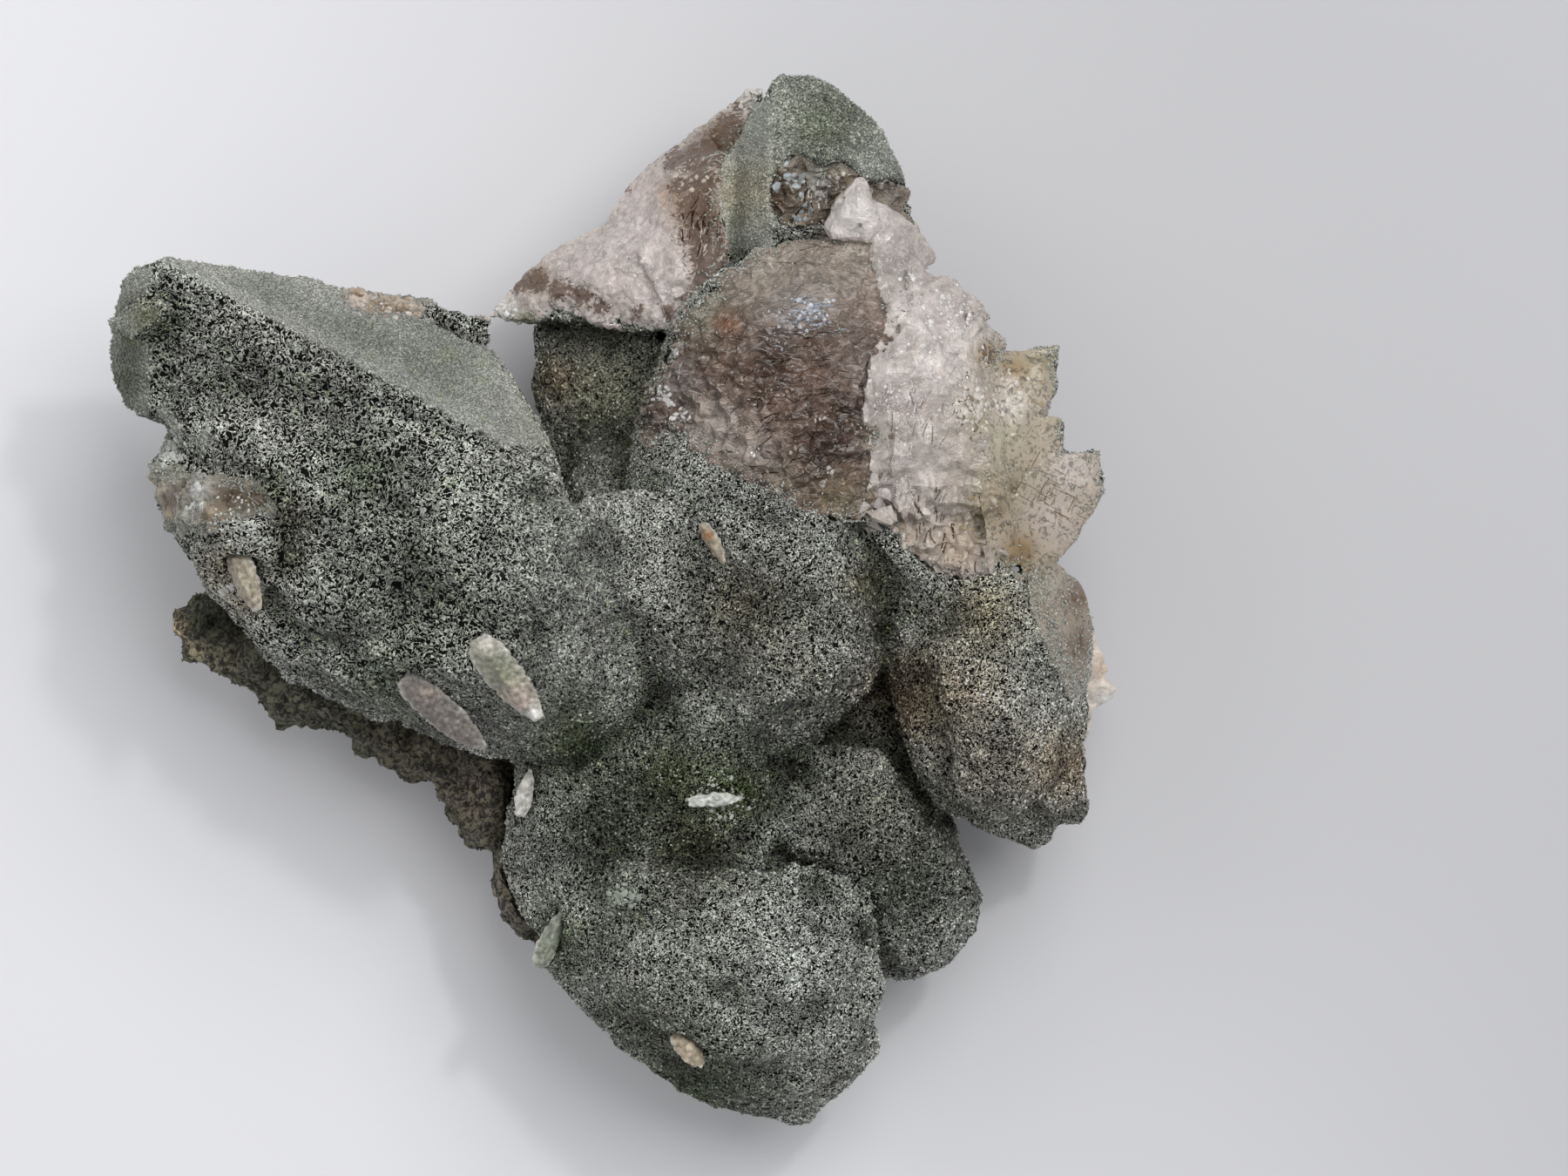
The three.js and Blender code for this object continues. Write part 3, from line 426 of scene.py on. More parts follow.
# The milky shoulder: cloudy white quartz beside the smoky core, with the splinters over its upper end.
# It is cracked across and upright, so its face is stepped in small blocks.
SHOULDER_OUTLINE = [
    (23.6, 8.2), (25.3, 7.2), (27.0, 6.0), (28.4, 4.4), (30.4, 2.6), (33.7, 1.6), (36.4, 2.0), (38.2, 4.6),
    (37.4, 7.6), (37.6, 12.0), (36.0, 14.5), (35.8, 18.4), (37.0, 24.4), (38.4, 25.4), (36.8, 28.0),
    (33.8, 31.2), (31.8, 33.4), (29.8, 36.8), (26.4, 38.2), (25.2, 39.2), (23.9, 41.2), (22.0, 39.0),
    (20.7, 36.2), (21.4, 35.2), (24.6, 34.8), (25.8, 31.0), (26.9, 28.2), (25.2, 24.0), (24.3, 18.6),
    (25.0, 14.0), (24.6, 11.0),
]
# Where, how far round it, and the colour there: partly the quartz's own cloudier, clearer and rusty
# patches, and partly painted shading, with lighter patches on its ridge and edge as painted highlights.
SHOULDER_TINTS_AND_SHADING = [
    (29.6, 28.0, 2.8, "#d3cac4"), (31.2, 23.0, 2.6, "#d6ccc6"), (28.8, 18.6, 2.6, "#ab9f97"),
    (26.6, 22.0, 1.2, "#dfd7d1"), (34.6, 25.4, 1.6, "#e0d8d2"), (34.8, 20.0, 2.0, "#c2b7aa"),
    (27.6, 32.4, 2.4, "#a09992"), (23.6, 38.0, 2.8, "#d5d0cc"), (30.4, 10.6, 2.4, "#e0d7cf"),
    (33.6, 11.6, 2.4, "#c3b7ab"), (29.6, 10.0, 2.0, "#cabfb7"), (33.4, 5.4, 2.4, "#c6b49f"),
    (29.4, 4.2, 2.2, "#c2b3a4"), (28.4, 7.0, 1.4, "#bcab98"), (36.8, 12.6, 1.8, "#a99c83"),
    (33.0, 15.6, 2.0, "#c3b8ad"), (36.5, 9.0, 2.4, "#a0947a"), (36.0, 17.6, 1.8, "#a5997d"),
    (36.6, 24.0, 1.8, "#a18e6c"),
]
SHOULDER_STAINS = [  # where, how far round it, and how strong
    (33.0, 3.6, 2.0, 0.36), (28.4, 5.2, 1.6, 0.34), (36.6, 8.0, 2.0, 0.4), (36.4, 24.2, 1.6, 0.5),
    (34.6, 27.4, 1.6, 0.36),
]
JOINTED_TO, JOINTED_FADE, JOINTED_LEAST = 14 * MM, 5 * MM, 0.2  # its blocks fade towards this y, to so much
milky_shoulder = split_off("milky_shoulder", SHOULDER_OUTLINE, low=-5, voxel=0.3)
swell(milky_shoulder, 0.5)
roughen(milky_shoulder, "CLOUDS", 4.0, 0.8, noise_depth=1)
low_down = (JOINTED_TO - points_of(milky_shoulder)[:, 1]) / JOINTED_FADE
weigh(milky_shoulder, "jointed", low_down, JOINTED_LEAST)
roughen(milky_shoulder, "VORONOI", 2.6, -2.6, group="jointed", **SQUARED)
roughen(milky_shoulder, "VORONOI", 1.1, -0.6, group="jointed", **SQUARED)
break_edges(milky_shoulder, share=0.3, angle=14)

# Material: milky quartz. White glass clouded by tiny bubbles, so that light goes into it and comes out
# softly. Pale curved veins run through it, its breaks are glossy, and iron has stained it rust brown in
# sharp-edged blotches.
milky, tree, shader, place, tint = begin_material("milky_quartz_broken")
clouds = add(tree, "ShaderNodeTexNoise", {"Vector": place}, Scale=1 / (1.5 * MM), Detail=6.0, Distortion=1.2)
body = toned(tree, tint.outputs["Color"], clouds.outputs["Fac"], levels=(0.35, 0.65), shares=(0.72, 1.14))
veiny = add(tree, "ShaderNodeTexNoise", {"Vector": place}, Scale=1 / (0.8 * MM), Detail=4.0, Distortion=2.0)
veins = veiny.outputs["Fac"]
vein = add(tree, "ShaderNodeMath", {0: veins, 1: 0.55, 2: 0.025}, operation="COMPARE").outputs["Value"]
share = add(tree, "ShaderNodeMapRange", {"Value": vein}, To_Max=0.4).outputs["Result"]
veined = add(tree, "ShaderNodeMix", {0: share, 6: body, 7: linear("#f1ece8")}, data_type="RGBA").outputs[2]
reached = add(tree, "ShaderNodeMath", {0: veins, 1: tint.outputs["Alpha"]}, operation="ADD").outputs["Value"]
blotch = add(tree, "ShaderNodeMapRange", {"Value": reached}, From_Min=0.84, From_Max=0.94, To_Max=0.85)
rusty = {0: blotch.outputs["Result"], 6: veined, 7: linear("#563b23")}
iron = add(tree, "ShaderNodeMix", rusty, data_type="RGBA")
gloss = add(
    tree, "ShaderNodeMapRange", {"Value": veins}, From_Min=0.3, From_Max=0.7, To_Min=0.4, To_Max=0.14
)
grain = add(tree, "ShaderNodeBump", {"Height": veins}, Strength=0.5, Distance=0.25 * MM)
feed(tree, shader, {
    "Base Color": iron.outputs[2], "Roughness": gloss.outputs["Result"], "Normal": grain.outputs["Normal"],
    "IOR": QUARTZ_IOR, "Transmission Weight": 0.12,
    "Subsurface Weight": 0.35, "Subsurface Radius": (1.0, 0.85, 0.75), "Subsurface Scale": 0.9 * MM,
})
dress(milky_shoulder, milky, "#b9afa8", SHOULDER_TINTS_AND_SHADING, stains=SHOULDER_STAINS)
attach(milky_shoulder, "root")
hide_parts("crystal_group")

# The stepped crystals: a row of small square-ended quartz crystals on the outer side, clear but dusted
# with brown-green chlorite. Their faces are flat and their edges crisp.
STEPPED_OUTLINE = [
    (36.6, 3.6), (38.4, 2.8), (40.2, 1.6), (42.6, 2.6), (44.6, 4.0), (48.3, 10.6), (47.8, 15.2),
    (44.4, 14.8), (44.2, 17.9), (43.4, 19.0), (43.6, 25.4), (36.4, 25.0), (34.2, 20.0), (34.2, 15.0),
    (35.4, 11.0), (36.0, 7.0),
]
STEPPED_TINTS = [
    (42.5, 23.8, 1.6, "#9b9276"), (39.2, 22.5, 1.5, "#a08a66"), (41.2, 19.8, 2.0, "#c6bba9"),
    (38.6, 19.0, 1.6, "#d6cdc2"), (36.4, 15.2, 1.5, "#b3a58f"), (39.0, 11.6, 2.4, "#b0a58f"),
    (36.6, 20.6, 1.8, "#c0b5a8"), (37.4, 9.0, 1.8, "#9c8c70"), (38.0, 16.0, 1.6, "#c3bba4"),
    (44.6, 12.8, 2.4, "#d8cdc4"), (42.8, 8.0, 2.8, "#cbbdb2"), (39.6, 5.0, 1.8, "#937a52"),
]
stepped_crystals = split_off("stepped_crystals", STEPPED_OUTLINE, low=-5, voxel=0.2)
swell(stepped_crystals, 0.1)
roughen(stepped_crystals, "VORONOI", 2.6, -0.35, **SQUARED)
break_edges(stepped_crystals, share=0.4, angle=12)

# Material: quartz dusted with chlorite. Clear quartz whose faces carry a thin scatter of brown-green
# specks, about 0.6 mm apart, so that it is speckled and half clear.
dusted_quartz, tree, shader, place, tint = begin_material("quartz_dusted")
specks = add(tree, "ShaderNodeTexNoise", {"Vector": place}, Scale=1 / (0.6 * MM), Detail=3.0, Distortion=0.8)
body = toned(tree, tint.outputs["Color"], specks.outputs["Fac"], levels=(0.36, 0.5), shares=(0.5, 1.06))
grain = add(tree, "ShaderNodeBump", {"Height": specks.outputs["Fac"]}, Strength=0.4, Distance=0.2 * MM)
feed(tree, shader, {
    "Base Color": body, "Roughness": 0.22, "Normal": grain.outputs["Normal"],
    "IOR": QUARTZ_IOR, "Transmission Weight": 0.2,
})
dress(stepped_crystals, dusted_quartz, "#b8ab98", STEPPED_TINTS)
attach(stepped_crystals, "root")
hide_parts("crystal_group")

# The milky wall: the crumpled white quartz behind, thin and torn along its upper edge, pinkish white,
# with rust-brown stains in the groove beside the upper crystal and at its lower end.
WALL_OUTLINE = [
    (-13.6, 27.8), (-9.5, 33.6), (-6.0, 35.7), (-1.5, 39.0), (0.4, 42.2), (2.6, 44.5), (7.6, 48.0),
    (12.5, 51.8), (15.2, 51.8), (13.6, 48.6), (11.2, 43.6), (10.5, 37.5), (11.6, 33.2), (8.2, 29.8),
    (6.2, 26.4), (-0.3, 26.8), (-5.4, 28.7), (-8.6, 27.0),
]
WALL_TINTS = [
    (5.6, 39.8, 1.8, "#a98f78"), (-7.8, 31.7, 1.6, "#988365"), (8.6, 38.0, 3.4, "#957f69"),
    (10.0, 45.0, 3.0, "#94806a"), (11.0, 46.0, 1.6, "#938062"), (-10.8, 28.9, 1.5, "#e3ded8"),
    (-9.0, 28.0, 1.2, "#9b9982"), (12.8, 50.0, 1.6, "#d3cbc4"), (2.0, 36.4, 3.0, "#d5c8c2"),
    (0.0, 31.6, 2.6, "#cfc1ba"),
]
WALL_STAINS = [
    (12.2, 49.0, 1.6, 0.5), (11.4, 46.6, 2.2, 0.66), (10.0, 44.5, 2.6, 0.7), (8.0, 43.4, 2.4, 0.62),
    (6.0, 43.6, 2.0, 0.56), (6.6, 40.6, 2.0, 0.52), (8.8, 41.2, 2.0, 0.66), (8.0, 38.4, 2.6, 0.68),
    (9.0, 36.0, 2.8, 0.72), (9.6, 33.4, 2.6, 0.74), (9.2, 31.0, 2.4, 0.7), (8.0, 29.0, 2.0, 0.6),
    (-9.4, 31.2, 1.5, 0.56), (-7.6, 31.6, 1.7, 0.62), (-5.4, 30.6, 1.7, 0.62), (-3.2, 30.0, 1.6, 0.58),
    (-1.2, 28.8, 1.4, 0.52), (2.4, 28.2, 1.3, 0.46), (5.6, 28.2, 1.7, 0.5), (-11.6, 29.4, 1.0, 0.44),
    (1.0, 41.0, 1.2, 0.42), (3.4, 44.0, 1.4, 0.46),
]
milky_wall = split_off("milky_wall", WALL_OUTLINE, low=-5, voxel=0.3)
swell(milky_wall, 0.25)
roughen(milky_wall, "CLOUDS", 4.2, 1.0, noise_depth=1)
roughen(milky_wall, "VORONOI", 2.8, -0.55)
roughen(milky_wall, "VORONOI", 1.0, -0.3, **SQUARED)
break_edges(milky_wall, share=0.3, angle=14)
dress(milky_wall, milky, "#c5b9b3", WALL_TINTS, stains=WALL_STAINS)
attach(milky_wall, "root")
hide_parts("crystal_group")

# The glassy pair: two small clear crystals at the great crystal's lower left. The larger is brown and
# clear at its upper end, has a painted highlight at its tip and is dusted lower down. The smaller is
# thinly coated all over.
PAIR_OUTLINE = [
    (-38.9, 12.9), (-36.8, 12.0), (-33.7, 11.4), (-32.6, 10.0), (-32.2, 8.4), (-34.4, 7.4), (-36.6, 7.6),
    (-38.6, 6.6), (-40.4, 6.8), (-42.4, 6.6), (-43.8, 7.8), (-45.4, 10.4), (-45.2, 13.2), (-42.4, 13.4),
    (-41.0, 12.4),
]
PAIR_TINTS_AND_HIGHLIGHT = [
    # painted highlight: the first patch, near-white at the larger crystal's tip
    (-39.8, 10.8, 0.9, "#f2f0ea"), (-36.6, 10.2, 1.7, "#4a3320"), (-33.9, 9.8, 1.5, "#45331f"),
    (-38.6, 8.4, 0.9, "#a99a80"), (-37.6, 7.6, 1.3, "#9b8266"), (-35.0, 6.8, 1.2, "#b9b7aa"),
    (-41.2, 8.0, 0.9, "#bcbcb1"), (-42.8, 10.0, 1.2, "#6d563a"), (-43.8, 11.2, 0.6, "#d8cdb6"),
    (-43.4, 8.6, 0.6, "#bba987"), (-42.4, 12.6, 0.8, "#a9a89a"),
]
glassy_pair = split_off("glassy_pair", PAIR_OUTLINE, low=25, voxel=0.15)
swell(glassy_pair, 0.3)
roughen(glassy_pair, "VORONOI", 1.9, -0.9, **SQUARED)
apply_modifier(glassy_pair, "DECIMATE", ratio=0.06)
dress(glassy_pair, dusted_quartz, "#9a9585", PAIR_TINTS_AND_HIGHLIGHT)
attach(glassy_pair, "root")
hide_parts("crystal_group")

# The outer quartz: the right crystal's far side, where its coat thins away over a clear brown edge. It
# has grown as one with that crystal, and a dusting of specks is left on it.
OUTER_OUTLINE = [
    (40.6, 3.6), (43.0, 4.4), (44.6, 3.4), (46.6, 1.6), (47.4, -2.0), (47.2, -4.4), (46.4, -7.4),
    (44.8, -10.2), (43.0, -6.5), (41.4, -3.0), (40.4, 0.6),
]
OUTER_TINTS = [
    (45.2, 0.6, 1.5, "#6f5337"), (45.4, -4.2, 1.5, "#6b5136"), (42.6, 1.6, 1.6, "#aba192"),
    (42.6, -2.6, 1.4, "#b0a696"),
]
outer_quartz = split_off("outer_quartz", OUTER_OUTLINE, low=17.8, voxel=0.2)
swell(outer_quartz, 0.15)
roughen(outer_quartz, "CLOUDS", 1.2, 0.4, noise_depth=1)
break_edges(outer_quartz, share=0.4, angle=24)
dress(outer_quartz, dusted_quartz, "#a0917d", OUTER_TINTS)
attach(outer_quartz, "root")
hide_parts("crystal_group")

# The bridge quartz: a bare brownish crystal lying along the bridge to the milky wall. It is the same
# cloudy quartz, broken all over in small facets.
BRIDGE_OUTLINE = [(-27.0, 28.0), (-26.8, 30.6), (-22.0, 31.0), (-17.8, 29.6), (-18.0, 27.6), (-22.0, 27.4)]
BRIDGE_TINTS = [(-24.6, 29.6, 1.0, "#c4b3a4"), (-20.0, 29.0, 1.2, "#c0b4a6"), (-22.4, 28.6, 1.0, "#8a7358")]
bridge_quartz = split_off("bridge_quartz", BRIDGE_OUTLINE, low=21.6, voxel=0.2)
roughen(bridge_quartz, "VORONOI", 1.1, -0.5)
apply_modifier(bridge_quartz, "DECIMATE", ratio=0.3)
dress(bridge_quartz, milky, "#b0a190", BRIDGE_TINTS, stains=[])
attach(bridge_quartz, "root")
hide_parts("crystal_group")

# The rear shards: clean, cream-coloured splinters of quartz low down behind the right crystal. They
# have broken off sharp, and no chlorite has grown on them.
SHARDS_OUTLINE = [(44.4, 1.6), (52.0, 1.6), (52.0, -15.0), (45.4, -15.0), (46.4, -11.4), (46.0, -6.0)]
SHARDS_TINTS = [(48.6, -6.4, 1.6, "#d8c3ae"), (48.6, -9.6, 1.2, "#f4f0ea")]
rear_shards = split_off("rear_shards", SHARDS_OUTLINE, low=-5, voxel=0.2, high=17.5)
roughen(rear_shards, "VORONOI", 1.4, -0.4)
apply_modifier(rear_shards, "DECIMATE", ratio=0.2)
dress(rear_shards, milky, "#e6d8ca", SHARDS_TINTS, stains=[])
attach(rear_shards, "root")
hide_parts("crystal_group")
bpy.data.objects.remove(whole)

# The coated crystals. A crust of fine chlorite flakes, well under a millimetre thick, covers most of
# the quartz. What is left of the stock is worked to its fine, uneven skin.
SKIN_VOXEL = 0.56
FACING_FADE = 0.1  # over what share of a turn a finely coated face goes over into the rest
LUMPS_LEVELLED = 0.85  # how much of the lumps is missing where the coat is as fine as can be
FINE_FACES = [  # the way a finely coated face looks, how strictly, its reach in x and y, and how fine it is
    ((0.35, 0.83, 0.43), 0.85, (-60, -4), (15, 60), 0.6),  # the great crystal's far side
    ((-0.91, -0.16, 0.38), 0.8, (-60, -38), (15, 60), 0.6),  # its end
    ((0.0, 0.0, 1.0), -1.0, (8, 15.6), (34, 49), 0.6),  # the top crystal's left side
    ((0.0, 0.0, 1.0), -1.0, (15.6, 30), (41, 53), 0.3),  # its upper face
]
COAT_BASE = "#b1b3ab"
HOLLOW_LIMITS = (-0.25, 1.0)  # how far, in mm, a place stands above or below the even run of the surface
HOLLOW_SHADE = 0.75
# Where, how far round it, and the colour there. Most patches are the coat's own tone, greener, browner,
# beside it near 26, -2.4.
# lighter or darker from place to place. Some are painted light: painted shadow in the narrow gaps round
# painted shadow beside the glassy pair (near -31, 8 and -31, 4), and a row of small pale patches along
# the dark crystal and between the centre and right crystals (near 18, -16; 22, -13; 20, -27; 24, -32),
# the right crystal's upper rim, from 24, 6 to 31, -3, which is a painted highlight, with painted shadow
COAT_TINTS_AND_PAINTED_LIGHT = [
    (-16.0, 1.0, 8.0, "#7a7e73"), (-31.0, 22.0, 9.0, "#a1a29b"), (-11.4, 5.5, 5.0, "#b0b4ab"),
    (-23.4, 2.0, 5.0, "#8b8e85"), (18.4, -5.9, 4.5, "#929287"), (28.0, -26.7, 7.0, "#5b5e54"),
    (18.8, -34.3, 6.0, "#c0c4bc"), (34.0, -9.0, 5.0, "#9f9788"), (36.0, -16.0, 5.0, "#a5a092"),
    (20.5, 46.5, 5.5, "#747a68"), (12.6, 40.0, 3.5, "#a8a28c"), (7.3, -33.0, 4.0, "#a9aca1"),
    (-1.2, -22.0, 6.0, "#5d6055"), (5.6, -16.9, 6.0, "#5a6248"), (12.3, -18.6, 4.0, "#59653f"),
    (-24.1, 12.4, 3.4, "#66705a"), (-32.6, 11.1, 2.0, "#828974"), (-1.2, 20.5, 7.0, "#8f8f79"),
    (-6.0, 22.0, 2.4, "#97886f"), (8.2, -23.7, 5.0, "#5a5e46"), (28.4, -9.3, 4.4, "#ad9c80"),
    (44.0, -16.0, 4.0, "#a09179"), (-47.2, 21.5, 4.0, "#6f7468"), (12.4, -0.5, 6.0, "#737060"),
    (25.2, -20.3, 5.0, "#7b7c6f"), (-3.7, -13.5, 4.0, "#7d8769"), (8.2, -47.5, 6.0, "#6b755d"),
    (-5.4, -33.0, 4.0, "#828a74"), (3.0, -41.0, 5.0, "#898c7f"), (0.4, -28.6, 2.0, "#949c8b"),
    (-22.0, -7.0, 3.0, "#8c9480"), (-45.0, 27.6, 2.2, "#7f8369"), (-31.0, 8.4, 1.8, "#5a5443"),
    (-30.8, 4.4, 2.2, "#666756"), (-37.8, 3.4, 2.2, "#b3aa97"), (-36.0, 0.6, 1.8, "#b9ad97"),
    (18.3, -16.4, 2.4, "#45483c"), (22.4, -12.8, 2.2, "#4b4a3f"), (24.4, -32.0, 1.6, "#4c4f46"),
    (19.8, -27.4, 1.8, "#4f5248"), (29.6, -7.0, 1.8, "#6f6453"), (26.0, -2.4, 1.7, "#454236"),
    (24.2, 5.8, 0.9, "#b3b7a6"), (25.4, 3.4, 0.9, "#b3b7a6"), (27.2, 1.2, 0.9, "#b0b3a2"),
    (29.2, -0.8, 0.9, "#aeb0a0"), (31.0, -2.8, 0.9, "#aaab9b"), (36.0, -1.0, 4.0, "#b0a990"),
    (-19.0, 25.0, 9.0, "#9d9f98"), (24.6, 1.6, 3.0, "#7f7b68"),
]
COARSE_X, COARSE_X_FADE = 3, 14  # left of this x the strings get coarser, in full that far from it
COARSE_Y, COARSE_Y_FADE = -15, 9  # and above this y
MOTTLES = ((8.0, 0.15), (2.6, 0.1))  # how large its lighter and darker patches are, and how strong
WAVES = 14  # how many straight waves make up one uneven one


def fineness(points, normals):
    """How finely coated each point is, from 0 to 1."""
    fine = np.zeros(len(points))
    for way, strict, in_x, in_y, amount in FINE_FACES:
        low, high = np.array([in_x, in_y]).T * MM
        inside = ((points[:, :2] > low) & (points[:, :2] < high)).all(1)
        facing = np.clip((normals @ np.array(way) - strict) / FACING_FADE, 0, 1)
        fine = np.maximum(fine, amount * inside * facing)
    return fine


def ripple(points, size):
    """An uneven wave of about that size in millimetres, mostly between -2 and 2."""
    draw = np.random.default_rng(5)
    runs = draw.normal(size=(WAVES, 3))
    runs *= 2 * math.pi / (size * MM) / np.linalg.norm(runs, axis=1)[:, None]
    heights = np.cos(points @ runs.T + draw.uniform(0, 2 * math.pi, WAVES))
    return heights.sum(1)[:, None] / math.sqrt(WAVES / 2)


def coarseness(points):
    """How coarse the strings of the coat are, from 0 to 1: coarse on the great crystal, fine elsewhere."""
    x, y = points[:, 0] / MM, points[:, 1] / MM
    return np.clip((COARSE_X - x) / COARSE_X_FADE, 0, 1) * np.clip((y - COARSE_Y) / COARSE_Y_FADE, 0, 1)


def mottle(points, fine):
    """How much lighter or darker the coat is from place to place: broad patches and small ones."""
    return 1 + (1 - fine.reshape(-1, 1)) * sum(share * ripple(points, size) for size, share in MOTTLES)


def normals_of(piece):
    """The way a piece faces at each of its points."""
    ways = np.empty(len(piece.data.vertices) * 3)
    piece.data.vertices.foreach_get("normal", ways)
    return ways.reshape(-1, 3)


remesh(stock, SKIN_VOXEL)
apply_modifier(stock, "SMOOTH", factor=0.5, iterations=1)
normals = normals_of(stock)
worn = place_object("worn_down", stock.data.copy())
apply_modifier(worn, "SMOOTH", factor=0.8, iterations=120)
hollow = ((points_of(worn) - points_of(stock)) * normals).sum(1) / MM
bpy.data.objects.remove(worn)
weigh(stock, "lumpy", 1 - LUMPS_LEVELLED * fineness(points_of(stock), normals))
roughen(stock, "CLOUDS", 6.0, 0.8, group="lumpy", noise_depth=1)
roughen(stock, "VORONOI", 3.0, -0.5, group="lumpy")
roughen(stock, "CLOUDS", 1.1, 0.7, group="lumpy", noise_depth=2)
keep_in_box(stock)
points = points_of(stock)
fine = fineness(points, normals_of(stock))
# Painted shade and light: the coat's colour is darkened in its hollows and lightened a little on its
# ridges, by how far each point stands below or above the even run of the surface.
depth_shade = np.exp(-HOLLOW_SHADE * np.clip(hollow, *HOLLOW_LIMITS))
paint(stock, tinted(points, COAT_BASE, COAT_TINTS_AND_PAINTED_LIGHT) * mottle(points, fine) * depth_shade[:, None], fine)
coarse = stock.data.attributes.new("coarse", "FLOAT", "POINT")
coarse.data.foreach_set("value", coarseness(points))

# Material: chlorite crust. Fine strings of grey-green chlorite scales, matted over the quartz with black
# gaps between them. Where the coat is fine, its gaps are all but closed. The real strings are a quarter to
# half a millimetre apart, which is too fine to show, so that they are drawn somewhat coarser.
STRING_SIZES = (0.4, 0.62)  # in the fine and in the coarse coat
chlorite, tree, shader, place, tint = begin_material("chlorite_crust")
strings = []
for size in STRING_SIZES:
    matting = add(
        tree, "ShaderNodeTexNoise", {"Vector": place}, Scale=1 / (size * MM), Detail=2.0, Distortion=1.4
    )
    string = add(tree, "ShaderNodeMath", {0: matting.outputs["Fac"], 1: 0.5, 2: 0.034}, operation="COMPARE")
    strings.append(string.outputs["Value"])
coarse = add(tree, "ShaderNodeAttribute", attribute_name="coarse")
string = add(tree, "ShaderNodeMix", {0: coarse.outputs["Fac"], 2: strings[0], 3: strings[1]}).outputs[0]
gap = add(tree, "ShaderNodeMapRange", {"Value": tint.outputs["Alpha"]}, To_Min=0.01, To_Max=0.7)
tone = add(tree, "ShaderNodeMapRange", {"Value": string, "To Min": gap.outputs["Result"]}, To_Max=1.2)
scaled = {0: tint.outputs["Color"], "Scale": tone.outputs["Result"]}
body = add(tree, "ShaderNodeVectorMath", scaled, operation="SCALE").outputs["Vector"]
feed(tree, shader, {"Base Color": body, "Roughness": 0.8, "Specular IOR Level": 0.08})
stock.data.materials.append(chlorite)
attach(stock, "root")
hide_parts("crystal_group")

# The flakes that stand on the crust: thin blades of chlorite on edge, each a sliver of four faces. They
# stand in clumps, lighter and darker ones mixed, and all but hide the crust where the coat is coarse.
FLAKE_LENGTH = 0.5
FLAKE_WIDTH = 0.26
FLAKE_SIZES = (0.55, 1.2)  # the smallest and largest, as shares of that
COMMON_SIZE, COARSE_LARGER, FINE_SMALLER = 0.8, 0.25, 0.2  # and how a coarse or fine coat alters it
FLAKES_TRIED = 60000  # in each of the three pieces, before those that fall in a gap are left out
UPRIGHT_SHARE, TURN_SHARE = 0.75, 0.5  # how thickly they lie on upright faces, and how much more turned up
LEAST_SHARE = 0.3  # and on what faces down
GREENER = np.array([-0.1, 0.0, -0.22])  # what the green of a hollow takes from red, green and blue
GREEN_PATCHES = 3.4
GREEN_SHARES = (2, 0.4)  # how green the depth of a hollow makes a flake, and a patch of that size
GREEN_LIMITS = (0, 2)
LIGHTEST = 0.9
GAP_SIZES = (0.36, 0.6)  # how far apart the gaps between clumps are, in the fine and in the coarse coat
GAP_LIMITS = (0.65, 0.45)  # how high the wave of clumps must stand to carry flakes, in the same two
CLUMP_SHARES = (0.8, 0.5)  # of that wave, and of a broader one
BROADER_GAPS = 1.32
FINE_FILLED = 2  # how far the fine coat fills its gaps
DARKEST = (0.3, 0.42, 0.42)  # how light the darkest flakes of each piece are
LIGHT_RANGES = (1.6, 1.2)  # how much lighter the lightest ones are, in the fine and in the coarse coat
RARENESSES = (2.2, 1.5)  # the power that makes those rare
CLUMP_LIGHT = 0.1  # how much lighter they are where their clump stands high
EVEN_LIGHT, EVEN_RANGE = 0.7, 0.45  # the same on the finely coated faces
TINT_SHARE = 0.65  # how much of the coat's tint a flake takes; the rest is the coat's base colour


def scatter(ground, count, dice):
    """Places spread over a surface, fewer where it faces down, the way it faces, and a point of it nearby."""
    mesh = ground.data
    mesh.calc_loop_triangles()
    tris = np.empty(len(mesh.loop_triangles) * 3, dtype=np.int32)
    mesh.loop_triangles.foreach_get("vertices", tris)
    tris = tris.reshape(-1, 3)
    a, b, c = points_of(ground)[tris].transpose(1, 0, 2)
    across = np.cross(b - a, c - a)
    area = np.linalg.norm(across, axis=1)
    wanted = area * np.clip(UPRIGHT_SHARE + TURN_SHARE * across[:, 2] / area, LEAST_SHARE, 1)
    pick = dice.choice(len(area), size=count, p=wanted / wanted.sum())
    u, v = dice.random((2, count, 1))
    flip = u + v > 1
    u, v = np.where(flip, 1 - u, u), np.where(flip, 1 - v, v)
    return a[pick] + u * (b - a)[pick] + v * (c - a)[pick], across[pick] / area[pick][:, None], tris[pick, 0]


def slivers(name, roots, ups, colours, dice, size=1.0, rise=0.16, tilt=0.35):
    """Thin four-faced flakes standing at places on a surface, each with its own colour."""
    count = len(roots)
    ups = ups + tilt * dice.normal(size=(count, 3))
    ups /= np.linalg.norm(ups, axis=1)[:, None]
    along = np.cross(ups, dice.normal(size=(count, 3)))
    along /= np.linalg.norm(along, axis=1)[:, None]
    half = dice.uniform(*FLAKE_SIZES, (count, 1)) * size * MM / 2
    along, side, ups = along * FLAKE_LENGTH * half, np.cross(ups, along) * FLAKE_WIDTH * half, ups * rise * MM
    tips = [roots + along + ups, roots - along + ups, roots + side - ups / 2, roots - side - ups / 2]
    return joined_slivers(name, np.stack(tips, 1), colours)


